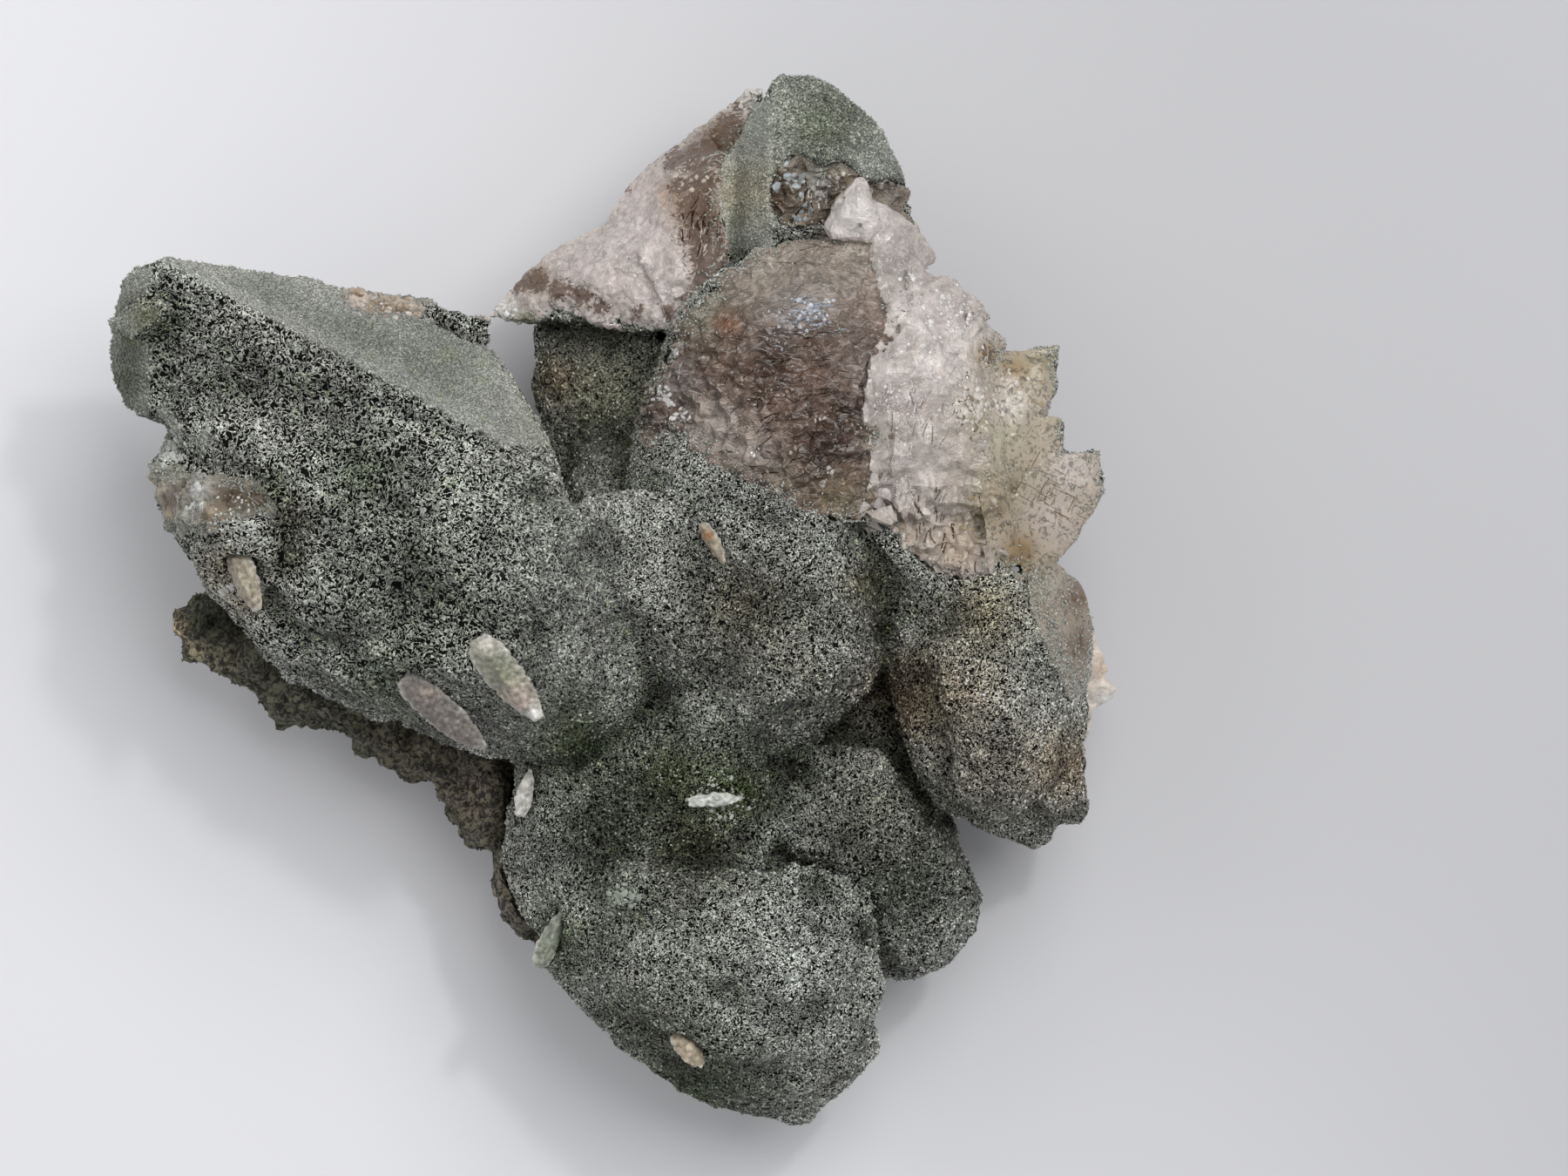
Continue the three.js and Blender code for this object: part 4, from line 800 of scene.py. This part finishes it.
def joined_slivers(name, tips, colours):
    """One mesh of many slivers: two tips and two sides each, with their own colour."""
    count = len(tips)
    faces = np.array([[0, 1, 2], [1, 0, 3], [0, 2, 3], [1, 3, 2]])
    faces = (faces[None] + 4 * np.arange(count)[:, None, None]).reshape(-1)
    data = bpy.data.meshes.new(name)
    data.vertices.add(4 * count)
    data.vertices.foreach_set("co", np.clip(tips.reshape(-1, 3), BOX_LOW, BOX_HIGH).reshape(-1))
    data.loops.add(len(faces))
    data.loops.foreach_set("vertex_index", faces)
    data.polygons.add(len(faces) // 3)
    data.polygons.foreach_set("loop_start", np.arange(0, len(faces), 3))
    data.update(calc_edges=True)
    piece = place_object(name, data)
    paint(piece, np.repeat(np.clip(colours, 0, LIGHTEST), 4, axis=0))
    return piece


# Material: chlorite flakes. Grey-green mica-like scales with a dull, slightly pearly face.
flake = bpy.data.materials.new("chlorite_flakes")
flake.use_nodes = True
tree = flake.node_tree
colour = add(tree, "ShaderNodeAttribute", attribute_name="tint").outputs["Color"]
dull = {"Base Color": colour, "Roughness": 0.5, "Specular IOR Level": 0.3}
feed(tree, tree.nodes["Principled BSDF"], dull)

for number in range(3):
    dice = np.random.default_rng(number)
    roots, ups, near = scatter(stock, FLAKES_TRIED, dice)
    fine, rough = fineness(roots, ups), coarseness(roots)
    clumps = rough * ripple(roots, GAP_SIZES[1])[:, 0] + (1 - rough) * ripple(roots, GAP_SIZES[0])[:, 0]
    clumps = CLUMP_SHARES[0] * clumps + CLUMP_SHARES[1] * ripple(roots, BROADER_GAPS)[:, 0]
    kept = clumps + FINE_FILLED * fine > np.interp(rough, (0, 1), GAP_LIMITS)
    roots, ups, near = roots[kept], ups[kept], near[kept]
    fine, rough, clumps = fine[kept][:, None], rough[kept][:, None], clumps[kept][:, None]
    # Partly painted highlight: besides the flakes' own spread of tone, the rare lightest ones stand for
    # glints.
    glint = dice.random((len(roots), 1)) ** np.interp(rough, (0, 1), RARENESSES)
    light = DARKEST[number] + CLUMP_LIGHT * clumps + np.interp(rough, (0, 1), LIGHT_RANGES) * glint
    light = light * (1 - fine) + (EVEN_LIGHT + EVEN_RANGE * dice.random((len(roots), 1))) * fine
    base = np.array(linear(COAT_BASE)[:3])
    # Painted shade and highlights: flakes take the coat's tints, painted light included, and are darkened in
    # its hollows and lightened on its ridges like the crust.
    colours = TINT_SHARE * tinted(roots, COAT_BASE, COAT_TINTS_AND_PAINTED_LIGHT) + (1 - TINT_SHARE) * base
    colours = colours * light * depth_shade[near][:, None] * mottle(roots, fine)
    green = GREEN_SHARES[0] * hollow[near][:, None] + GREEN_SHARES[1] * ripple(roots, GREEN_PATCHES)
    colours += colours * GREENER * np.clip(green, *GREEN_LIMITS)
    sizes = COMMON_SIZE + COARSE_LARGER * rough - FINE_SMALLER * fine
    flakes = slivers(f"chlorite_flakes_{number + 1}", roots, ups, colours, dice, size=sizes)
    flakes.data.materials.append(flake)
    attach(flakes, "root")
    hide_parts("crystal_group")

# The last flakes, where the coat thins out over the bare quartz: the fewer, the further from its edge.
# A few more lie dusted all over the clearer pieces.
COAT_STEP = 3  # every third point of the coat is enough to measure from
coat = KDTree(len(points) // COAT_STEP + 1)
for number, place in enumerate(points[::COAT_STEP]):
    coat.insert(place, number)
coat.balance()
THINNING = [  # each bare piece, how many places are tried on it, how far the coat strays, and the least
    (smoky_core, 24000, 1.1, 0.02), (smoky_stub, 6000, 0.5, 0.0), (milky_shoulder, 22000, 0.8, 0.0),
    (stepped_crystals, 22000, 0.8, 0.03), (milky_wall, 14000, 0.6, 0.0), (glassy_pair, 12000, 0.6, 0.03),
    (bridge_quartz, 3000, 0.4, 0.04), (outer_quartz, 8000, 1.2, 0.08),
]
SPLINTERS_FROM = 30 * MM  # above this y the milky shoulder is all clean splinters
STRAY_LIGHT, STRAY_RANGE = 0.6, 0.8  # how light the darkest is, and how much lighter the lightest
dice = np.random.default_rng(11)
kept_roots, kept_ups = [], []
for piece, tries, stray, dust in THINNING:
    roots, ups, _ = scatter(piece, tries, dice)
    reach = np.array([coat.find(root)[2] for root in roots]) / MM
    kept = dice.random(tries) < np.exp(-((reach / stray) ** 2)) + dust
    if piece == milky_shoulder:
        kept &= roots[:, 1] <= SPLINTERS_FROM
    kept_roots.append(roots[kept])
    kept_ups.append(ups[kept])
roots, ups = np.concatenate(kept_roots), np.concatenate(kept_ups)
# These tints carry the coat's painted shade and highlights too.
colours = tinted(roots, COAT_BASE, COAT_TINTS_AND_PAINTED_LIGHT) * (STRAY_LIGHT + STRAY_RANGE * dice.random((len(roots), 1)))
stray_flakes = slivers("chlorite_flakes_thinning", roots, ups, colours, dice, rise=0.1)
stray_flakes.data.materials.append(flake)
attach(stray_flakes, "root")
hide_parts("crystal_group")

# The cracks in the bare quartz: curved hairlines, pale where a crack is open and holds air, dark where
# it has healed. Some pale lots are painted highlights instead: glints on the smoky core's frosted patch
# and the stub's upright facets, and along the glassy pair's edges. Each is a chain of thin slivers laid
# in the surface.
CRACKS_AND_PAINTED_HIGHLIGHTS = [  # of each lot: its middle, how far round it, how many, which way they run, how wide, colour
    ("smoky_quartz", [
        (smoky_core, [
            (16.4, 21.0, 6.4, 60, 4, 0.11, "#453329"), (14.6, 17.4, 5.0, 34, 28, 0.1, "#4b392e"),
            # painted highlight: the first lot here, bluish white, stands for the glints of the frosted patch
            (18.6, 27.6, 2.6, 34, 14, 0.16, "#c3c8d4"), (16.4, 25.6, 4.0, 26, -14, 0.12, "#c3bab2"),
            (8.6, 17.6, 3.0, 16, -20, 0.14, "#d6cfc8"), (19.0, 13.4, 3.4, 20, 24, 0.12, "#3b2a1e"),
            (16.0, 32.0, 6.0, 16, 8, 0.1, "#6e6457"), (22.0, 20.0, 5.0, 24, -8, 0.1, "#998b83"),
            (5.0, 22.0, 2.2, 12, 55, 0.14, "#d8d4d0"),
        ]),
        (smoky_stub, [
            # painted highlight: the first lot, pale lines for the glints of the stub's upright facets
            (20.0, 39.6, 3.4, 26, 76, 0.2, "#d9dad6"), (18.0, 39.0, 2.6, 16, 66, 0.14, "#3d2e1f"),
        ]),
    ]),
    ("milky_quartz", [
        (milky_shoulder, [
            (29.6, 9.6, 3.4, 26, 86, 0.2, "#e6ddd6"), (31.0, 6.8, 3.6, 44, 86, 0.17, "#7a644e"),
            (31.6, 22.0, 5.0, 44, 66, 0.12, "#f6f2ee"), (29.6, 17.0, 3.6, 22, 74, 0.12, "#a3968c"),
            (27.4, 18.6, 2.2, 20, 80, 0.14, "#f0ebe7"),
        ]),
        (milky_wall, [
            (1.0, 34.0, 4.6, 30, 50, 0.1, "#f2ebe6"), (9.2, 36.0, 2.8, 26, 84, 0.16, "#40291a"),
            (9.2, 34.6, 2.8, 22, 84, 0.16, "#dccfc2"), (8.0, 42.6, 3.0, 16, 40, 0.12, "#e2d8cc"),
        ]),
        (glassy_pair, [
            # painted highlights: both lots are pale lines along the pair's edges
            (-40.6, 8.8, 1.6, 7, 76, 0.22, "#d9dcd6"), (-35.4, 11.0, 1.8, 6, -12, 0.14, "#a9a695"),
        ]),
        (stepped_crystals, [
            (42.6, 10.4, 3.4, 34, -27, 0.1, "#9d8b73"), (42.6, 10.4, 3.4, 12, 63, 0.1, "#a5937b"),
        ]),
    ]),
]
HAIRLINE_STEPS = 7
HAIRLINE_LENGTHS = (0.4, 1.9)
HEADINGS_STRAY = 18  # in degrees
SHARPEST_BEND = 0.7  # in radians over its length
STEPPED_SHARE = 0.15  # the joints of the stepped crystals stray and bend only so much
LARGEST_DROP = 0.5 * MM  # a hairline that falls further between two places is left out
LINE_LIFT, LINE_DEPTH = 0.03 * MM, 0.08 * MM  # how far its slivers stand out, and reach in
LINE_OVERLAP = 0.35
LINE_WIDTHS, LINE_SHADES = (0.5, 1.2), (0.7, 1.15)  # shares of a lot's own width and colour
ABOVE_ALL = 0.06


def drop_onto(piece, x, y):
    """Looks straight down on a piece: whether it is there, where, and the way it faces."""
    return piece.ray_cast(Vector((x * MM, y * MM, ABOVE_ALL)), Vector((0, 0, -1)))[:3]


def hairlines(piece, x, y, reach, count, heading, broad, colour, dice):
    """Curved hairlines round a place on a piece, as sliver tips and their colours: crack lines, and some
    lines of painted highlight.
    """
    tips, colours = [], []
    straight = STEPPED_SHARE if piece == stepped_crystals else 1.0
    for _ in range(count):
        line = [np.array([x, y]) + dice.normal(size=2) * reach / 2]
        run = math.radians(heading + dice.normal() * HEADINGS_STRAY * straight)
        bend = dice.uniform(-SHARPEST_BEND, SHARPEST_BEND) * straight
        length = dice.uniform(*HAIRLINE_LENGTHS)
        for step in range(HAIRLINE_STEPS):
            turn = run + bend * (step / HAIRLINE_STEPS - 0.5)
            line.append(line[-1] + np.array([math.cos(turn), math.sin(turn)]) * length / HAIRLINE_STEPS)
        hits = [drop_onto(piece, *spot) for spot in line]
        if not all(hit for hit, *_ in hits):
            continue
        places = np.array([place for _, place, _ in hits])
        if np.abs(np.diff(places[:, 2])).max() > LARGEST_DROP:
            continue
        places[:, 2] += LINE_LIFT
        width = broad * dice.uniform(*LINE_WIDTHS) * MM
        for step in range(HAIRLINE_STEPS):
            here, there = places[step], places[step + 1]
            over = (there - here) * LINE_OVERLAP
            side = np.cross(there - here, (0, 0, 1))
            side *= width / np.linalg.norm(side)
            centre = (here + there) / 2 - np.array([0, 0, LINE_DEPTH])
            tips.append([here - over, there + over, centre + side, centre - side])
            colours.append(np.array(linear(colour)[:3]) * dice.uniform(*LINE_SHADES))
    return tips, colours


# Material: crack faces. Thin films of air or iron in the quartz, bright or dark, with a glassy sheen.
# The same material carries the lines of painted highlight.
crack_and_highlight = flake.copy()
crack_and_highlight.name = "quartz_crack_and_highlight"
crack_and_highlight.node_tree.nodes["Principled BSDF"].inputs["Roughness"].default_value = 0.2
dice = np.random.default_rng(21)
for slot, lots in CRACKS_AND_PAINTED_HIGHLIGHTS:
    tips, colours = [], []
    for piece, cracks_and_painted_highlights in lots:
        for one_lot in cracks_and_painted_highlights:
            more_tips, more_colours = hairlines(piece, *one_lot, dice)
            tips += more_tips
            colours += more_colours
    cracks_and_highlights_piece = joined_slivers(f"cracks_{slot}", np.array(tips), np.array(colours))
    cracks_and_highlights_piece.data.materials.append(crack_and_highlight)
    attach(cracks_and_highlights_piece, "root")
    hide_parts("crystal_group")

# The chips: broken bits of clear and white quartz that lie on the coat and along the breaks, each a
# lump of twenty faces pressed into what it lies on. Some lots are painted light instead: near-white
# chips as painted highlights on the smoky core, the stub and the glassy pair's tip, and dark chips as
# painted shadow between the shoulder's white crumbs.
CHIPS_AND_PAINTED_LIGHT = [  # by piece: where each lot lies, how far round it, how many, how large, and their colour
    (stock, [
        (-43.1, 14.2, 1.7, 50, 0.75, "#c4c6c0"), (-43.0, 12.6, 1.0, 10, 0.5, "#8f8874"),
        (8.4, -18.9, 0.9, 12, 0.5, "#b9bcb2"), (11.0, -19.3, 1.6, 60, 0.45, "#d2d4cd"),
        (-9.7, 7.3, 0.5, 3, 0.7, "#a9a99a"), (-37.4, 0.4, 0.8, 8, 0.6, "#c9c4b6"),
        (-11.4, -21.8, 0.9, 12, 0.6, "#b5b2ac"), (-10.2, -27.8, 0.9, 12, 0.6, "#b0ada6"),
        (0.5, -28.6, 1.5, 34, 0.7, "#a9b0a1"), (11.6, -51.0, 0.8, 5, 0.6, "#a8a598"),
    ]),
    (smoky_core, [
        # painted highlights: the four near-white lots near x 5 to 7 stand for glints along the core's left
        # edge
        (5.6, 24.0, 0.6, 10, 0.8, "#e4e2df"), (4.8, 19.8, 0.7, 14, 0.5, "#d4d3d2"),
        (6.8, 18.0, 0.8, 12, 0.6, "#e2e0dc"), (5.0, 20.2, 0.9, 12, 0.7, "#dfdedd"),
        (20.0, 17.7, 0.4, 4, 0.55, "#cfc5ba"), (21.0, 12.6, 0.4, 5, 0.55, "#dcd8d2"),
        # painted highlights: the bluish lots near 19, 27.6 and 16, 26.6 stand for the glints of the frosted
        # patch
        (14.0, 14.2, 0.5, 5, 0.4, "#cfc9c2"), (19.2, 27.6, 1.3, 30, 0.45, "#d3d7e2"),
        (16.0, 26.6, 1.4, 12, 0.35, "#b9bcc4"), (19.0, 11.6, 2.0, 24, 0.4, "#8b7a66"),
        (12.5, 14.8, 2.6, 40, 0.4, "#b5aca3"), (15.0, 20.0, 8.0, 150, 0.4, "#a0917f"),
    ]),
    (milky_shoulder, [
        (28.7, 31.5, 0.5, 6, 0.7, "#f4f2ee"), (35.4, 19.0, 2.2, 130, 0.6, "#e0d9cf"),
        # painted shadow: the dark lot near 35, 18.6 stands for the shadows between the white crumbs
        (35.2, 18.6, 2.2, 60, 0.5, "#8d7d69"), (32.0, 27.4, 2.6, 60, 0.5, "#f6f3ef"),
        (27.2, 19.6, 1.6, 22, 0.45, "#e9e4df"),
    ]),
    (stepped_crystals, [
        (38.0, 19.4, 1.8, 44, 0.65, "#e2dbd0"), (36.8, 12.0, 1.6, 40, 0.55, "#b9ab95"),
    ]),
    (milky_shoulder, [
        (36.4, 14.0, 1.8, 40, 0.6, "#c9beae"), (36.0, 8.4, 1.6, 26, 0.6, "#a39274"),
    ]),
    (stepped_crystals, [
        (38.8, 14.0, 1.6, 20, 0.5, "#c9bfaa"), (41.0, 20.0, 1.8, 16, 0.5, "#b9a789"),
        (45.6, 12.6, 1.2, 12, 0.5, "#ded6cf"),
    ]),
    (milky_wall, [
        (-10.8, 28.8, 1.2, 20, 0.6, "#f2f0ec"), (0.6, 33.0, 2.6, 40, 0.5, "#e6dcd6"),
        (12.8, 49.8, 1.4, 16, 0.6, "#e2ddd6"), (7.0, 41.6, 2.0, 24, 0.5, "#cfc2b2"),
    ]),
    (smoky_stub, [
        # painted highlights: all three lots on the stub stand for the flashes of its facets
        (17.8, 41.0, 1.2, 14, 0.9, "#c3c9cb"), (21.4, 39.8, 2.6, 46, 0.6, "#c9c6be"),
        (18.2, 37.6, 0.9, 6, 0.9, "#a3adb0"),
    ]),
    (glassy_pair, [
        # painted highlight: the first lot, near-white at the larger crystal's tip
        (-39.8, 11.2, 0.4, 8, 0.8, "#f4f4f2"), (-36.4, 8.2, 1.8, 40, 0.4, "#dedfd9"),
    ]),
    (bridge_quartz, [
        (-22.4, 29.4, 2.6, 30, 0.9, "#b3a18d"), (-22.0, 29.2, 3.0, 34, 0.8, "#e2d9cf"),
    ]),
    (stock, [
        (-35.4, 1.6, 1.8, 30, 0.6, "#a99f8a"), (-35.2, 6.4, 1.7, 90, 0.34, "#d2d4ce"),
        (-37.2, 5.0, 2.0, 30, 0.4, "#a7a594"),
    ]),
    (glassy_pair, [
        (-40.4, 9.4, 0.7, 8, 0.5, "#dfe2de"), (-35.8, 10.6, 1.4, 12, 0.35, "#8d7a64"),
    ]),
    (stock, [
        (-37.6, 1.2, 0.9, 14, 0.7, "#e0dcd6"),
    ]),
]
CHIP_SHAPES, CHIP_FLATNESS = (0.55, 1.3), 0.5  # how long along each axis, and how flat
CHIP_CORNERS = (0.8, 1.2)  # how far each corner is pushed in or drawn out
CHIP_SIZES, CHIP_SHADES = (0.5, 1.2), (0.75, 1.15)  # shares of a lot's own size and colour
CHIP_CROWDING = 1.6  # how much closer to a lot's middle they lie than its reach
bpy.ops.object.select_all(action="DESELECT")
bpy.ops.mesh.primitive_ico_sphere_add(subdivisions=1, radius=0.5)
chip_model = bpy.context.object
chip_points = points_of(chip_model)
chip_faces = np.array([list(face.vertices) for face in chip_model.data.polygons])
corners = len(chip_points)
bpy.data.objects.remove(chip_model)


def lay_chips_and_painted_light(piece, x, y, reach, count, size, colour, dice):
    """Bits of quartz strewn round a place on a piece: their points and colours."""
    points, colours = [], []
    for _ in range(count):
        hit, place, up = drop_onto(piece, *(np.array([x, y]) + dice.normal(size=2) * reach / CHIP_CROWDING))
        if not hit:
            continue
        shape = chip_points * dice.uniform(*CHIP_SHAPES, (1, 3)) * (1, 1, CHIP_FLATNESS)
        shape = shape * dice.uniform(*CHIP_CORNERS, (corners, 1))
        turn = dice.uniform(0, 2 * math.pi)
        c, s = math.cos(turn), math.sin(turn)
        flat_turn = np.array([[c, -s, 0], [s, c, 0], [0, 0, 1]])
        stand = np.array(Vector((0, 0, 1)).rotation_difference(up).to_matrix())
        points.append(shape @ flat_turn.T @ stand.T * size * MM * dice.uniform(*CHIP_SIZES) + np.array(place))
        colours.append(np.array(linear(colour)[:3]) * dice.uniform(*CHIP_SHADES))
    return points, colours


# Material: chipped quartz. Small clean breaks of clear and milky quartz, which glint. It also carries
# the chips that are painted highlights and painted shadow.
chipped_and_painted_light = flake.copy()
chipped_and_painted_light.name = "quartz_chips_and_painted_light"
tree = chipped_and_painted_light.node_tree
glassy = {"Roughness": 0.12, "IOR": QUARTZ_IOR, "Transmission Weight": 0.25}
feed(tree, tree.nodes["Principled BSDF"], glassy)
dice = np.random.default_rng(31)
points, colours = [], []
for piece, lots in CHIPS_AND_PAINTED_LIGHT:
    for one_lot in lots:
        more_points, more_colours = lay_chips_and_painted_light(piece, *one_lot, dice)
        points += more_points
        colours += more_colours
faces = (chip_faces[None] + corners * np.arange(len(points))[:, None, None]).reshape(-1, 3)
data = bpy.data.meshes.new("quartz_chips_and_painted_light")
data.from_pydata(np.clip(np.concatenate(points), BOX_LOW, BOX_HIGH).tolist(), [], faces.tolist())
chips_and_painted_light = place_object("quartz_chips_and_painted_light", data)
paint(chips_and_painted_light, np.clip(np.repeat(np.array(colours), corners, axis=0), 0, LIGHTEST))
chips_and_painted_light.data.materials.append(chipped_and_painted_light)
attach(chips_and_painted_light, "root")
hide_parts("crystal_group")

# The bed: rubbly brown rock under the crystals, a granular mix of quartz, feldspar and chlorite, flat
# underneath where it was broken off the wall it grew on.
BED_TINTS = [
    (-43.6, -2.8, 1.3, "#b5a284"), (-41.2, -4.8, 1.0, "#a59a80"), (-40.0, -1.8, 2.4, "#303123"),
    (-36.5, -2.0, 2.6, "#2c2d20"), (-38.6, -6.0, 1.8, "#676251"), (-33.0, -6.5, 3.4, "#545143"),
    (-28.0, -9.0, 3.4, "#525243"), (-20.0, -13.0, 5.0, "#575142"), (-14.0, -19.0, 4.0, "#5f574a"),
    (-10.0, -28.0, 4.0, "#6c6559"),
]
bed = merged_copy("rock_bed", "rock_bed_rubble")
remesh(bed, 0.5)
roughen(bed, "VORONOI", 3.0, -1.9)
roughen(bed, "VORONOI", 1.2, -0.7)

# Material: bed rock. Brown rock, broken, with pale and dark grains half a millimetre across and more, so
# that it is rough and speckled.
rock, tree, shader, place, tint = begin_material("granular_rock")
grains = add(tree, "ShaderNodeTexNoise", {"Vector": place}, Scale=1 / (0.6 * MM), Detail=5.0, Distortion=1.0)
body = toned(tree, tint.outputs["Color"], grains.outputs["Fac"], levels=(0.42, 0.6), shares=(0.2, 1.9))
feed(tree, shader, {"Base Color": body, "Roughness": 0.75})
dress(bed, rock, "#4b4a3b", BED_TINTS)
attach(bed, "root")
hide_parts("rock_bed")

# The flakes on the bed: the same chlorite, strewn thinly over the rubble. They lie in patches, on what
# faces up or sideways.
BED_FLAKES = 26000
TURNED_DOWN = -0.2  # a place that faces further down holds none
BED_PATCHES, BED_PATCH_LIMIT = 2.4, -0.2  # how far apart they are, and how low their wave may be
BED_SHADES = (0.3, 1.3)
dice = np.random.default_rng(8)
roots, ups, _ = scatter(bed, BED_FLAKES, dice)
kept = (ups[:, 2] > TURNED_DOWN) & (ripple(roots, BED_PATCHES)[:, 0] > BED_PATCH_LIMIT)
roots, ups = roots[kept], ups[kept]
colours = tinted(roots, "#6b6b5f", BED_TINTS) * dice.uniform(*BED_SHADES, (len(roots), 1))
bed_flakes = slivers("chlorite_flakes_bed", roots, ups, colours, dice)
bed_flakes.data.materials.append(flake)
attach(bed_flakes, "root")
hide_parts("rock_bed")

# The blades: eight small lens-shaped blades of a second, paler mineral that stand on the coat. Each is
# dusted on its faces and clean and white along its rim.
BLADE_COLOURS = ["#7f7872", "#8b8a7d", "#a29885", "#a3967f", "#9d9481", "#83887a", "#d0cdc5", "#c9ccc4"]
BLADE_TINTS = [
    (9.4, 6.4, 0.5, "#9c6f45"), (-16.7, -7.9, 0.7, "#d6d3ca"), (-15.4, -9.0, 0.7, "#e0ded6"),
    (-14.1, -10.2, 0.7, "#dcd9d1"), (-17.4, -8.6, 1.0, "#a3968a"), (-16.5, -10.4, 1.5, "#77706a"),
    (-13.8, -12.0, 1.1, "#7b746b"), (-11.9, -4.2, 1.2, "#bdb9ac"), (-10.8, -6.0, 1.3, "#7f826f"),
    (-9.6, -7.4, 1.0, "#8e8f78"), (-8.6, -9.2, 1.5, "#ae9f93"), (-7.2, -10.8, 0.8, "#f2f0eb"),
    (7.6, -43.2, 0.7, "#c9bba2"),
]
BLADE_REACH = [  # how broad and how long each is worked, as shares of its solid
    (1.12, 0.97), (1.2, 0.92), (0.9, 0.95), (0.85, 0.9), (0.85, 0.95), (0.9, 0.9), (1.0, 0.95), (0.6, 1.0),
]
RIM_FROM, RIM_STRENGTH, RIM_COLOUR = 0.8, 0.6, "#c4c1b8"  # how far out its clean rim begins

# Material: pale blade mineral. Cloudy flat crystals with a finely pitted face, dusted with chlorite, so
# that they are matt and mottled.
blade_mineral, tree, shader, place, tint = begin_material("pale_blade_mineral")
specks = add(tree, "ShaderNodeTexNoise", {"Vector": place}, Scale=1 / (0.5 * MM), Detail=3.0)
body = toned(tree, tint.outputs["Color"], specks.outputs["Fac"], levels=(0.35, 0.65), shares=(0.6, 1.3))
feed(tree, shader, {"Base Color": body, "Roughness": 0.4})
for number, colour in enumerate(BLADE_COLOURS, 1):
    blade = merged_copy(f"blade_{number}", f"pale_blade_{number}")
    rim_points = points_of(blade)
    middle = rim_points.mean(0)
    axes = np.linalg.eigh(np.cov((rim_points - middle).T))[1]
    broad, long = BLADE_REACH[number - 1]
    rim_points = middle + ((rim_points - middle) @ axes * (1, broad, long)) @ axes.T
    blade.data.vertices.foreach_set("co", rim_points.reshape(-1))
    blade.data.update()
    remesh(blade, 0.13)
    swell(blade, 0.12)
    roughen(blade, "CLOUDS", 1.6, 0.35, noise_depth=1)
    roughen(blade, "VORONOI", 0.7, -0.3)
    keep_in_box(blade)
    places = points_of(blade)
    local = (places - middle) @ axes
    reach = np.abs((rim_points - middle) @ axes).max(0)
    outward = np.hypot(local[:, 1] / reach[1], local[:, 2] / reach[2])
    rim = RIM_STRENGTH * np.clip((outward - RIM_FROM) / (1 - RIM_FROM), 0, 1)[:, None]
    paint(blade, tinted(places, colour, BLADE_TINTS) * (1 - rim) + np.array(linear(RIM_COLOUR)[:3]) * rim)
    blade.data.materials.append(blade_mineral)
    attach(blade, "root")
    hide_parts(f"blade_{number}")
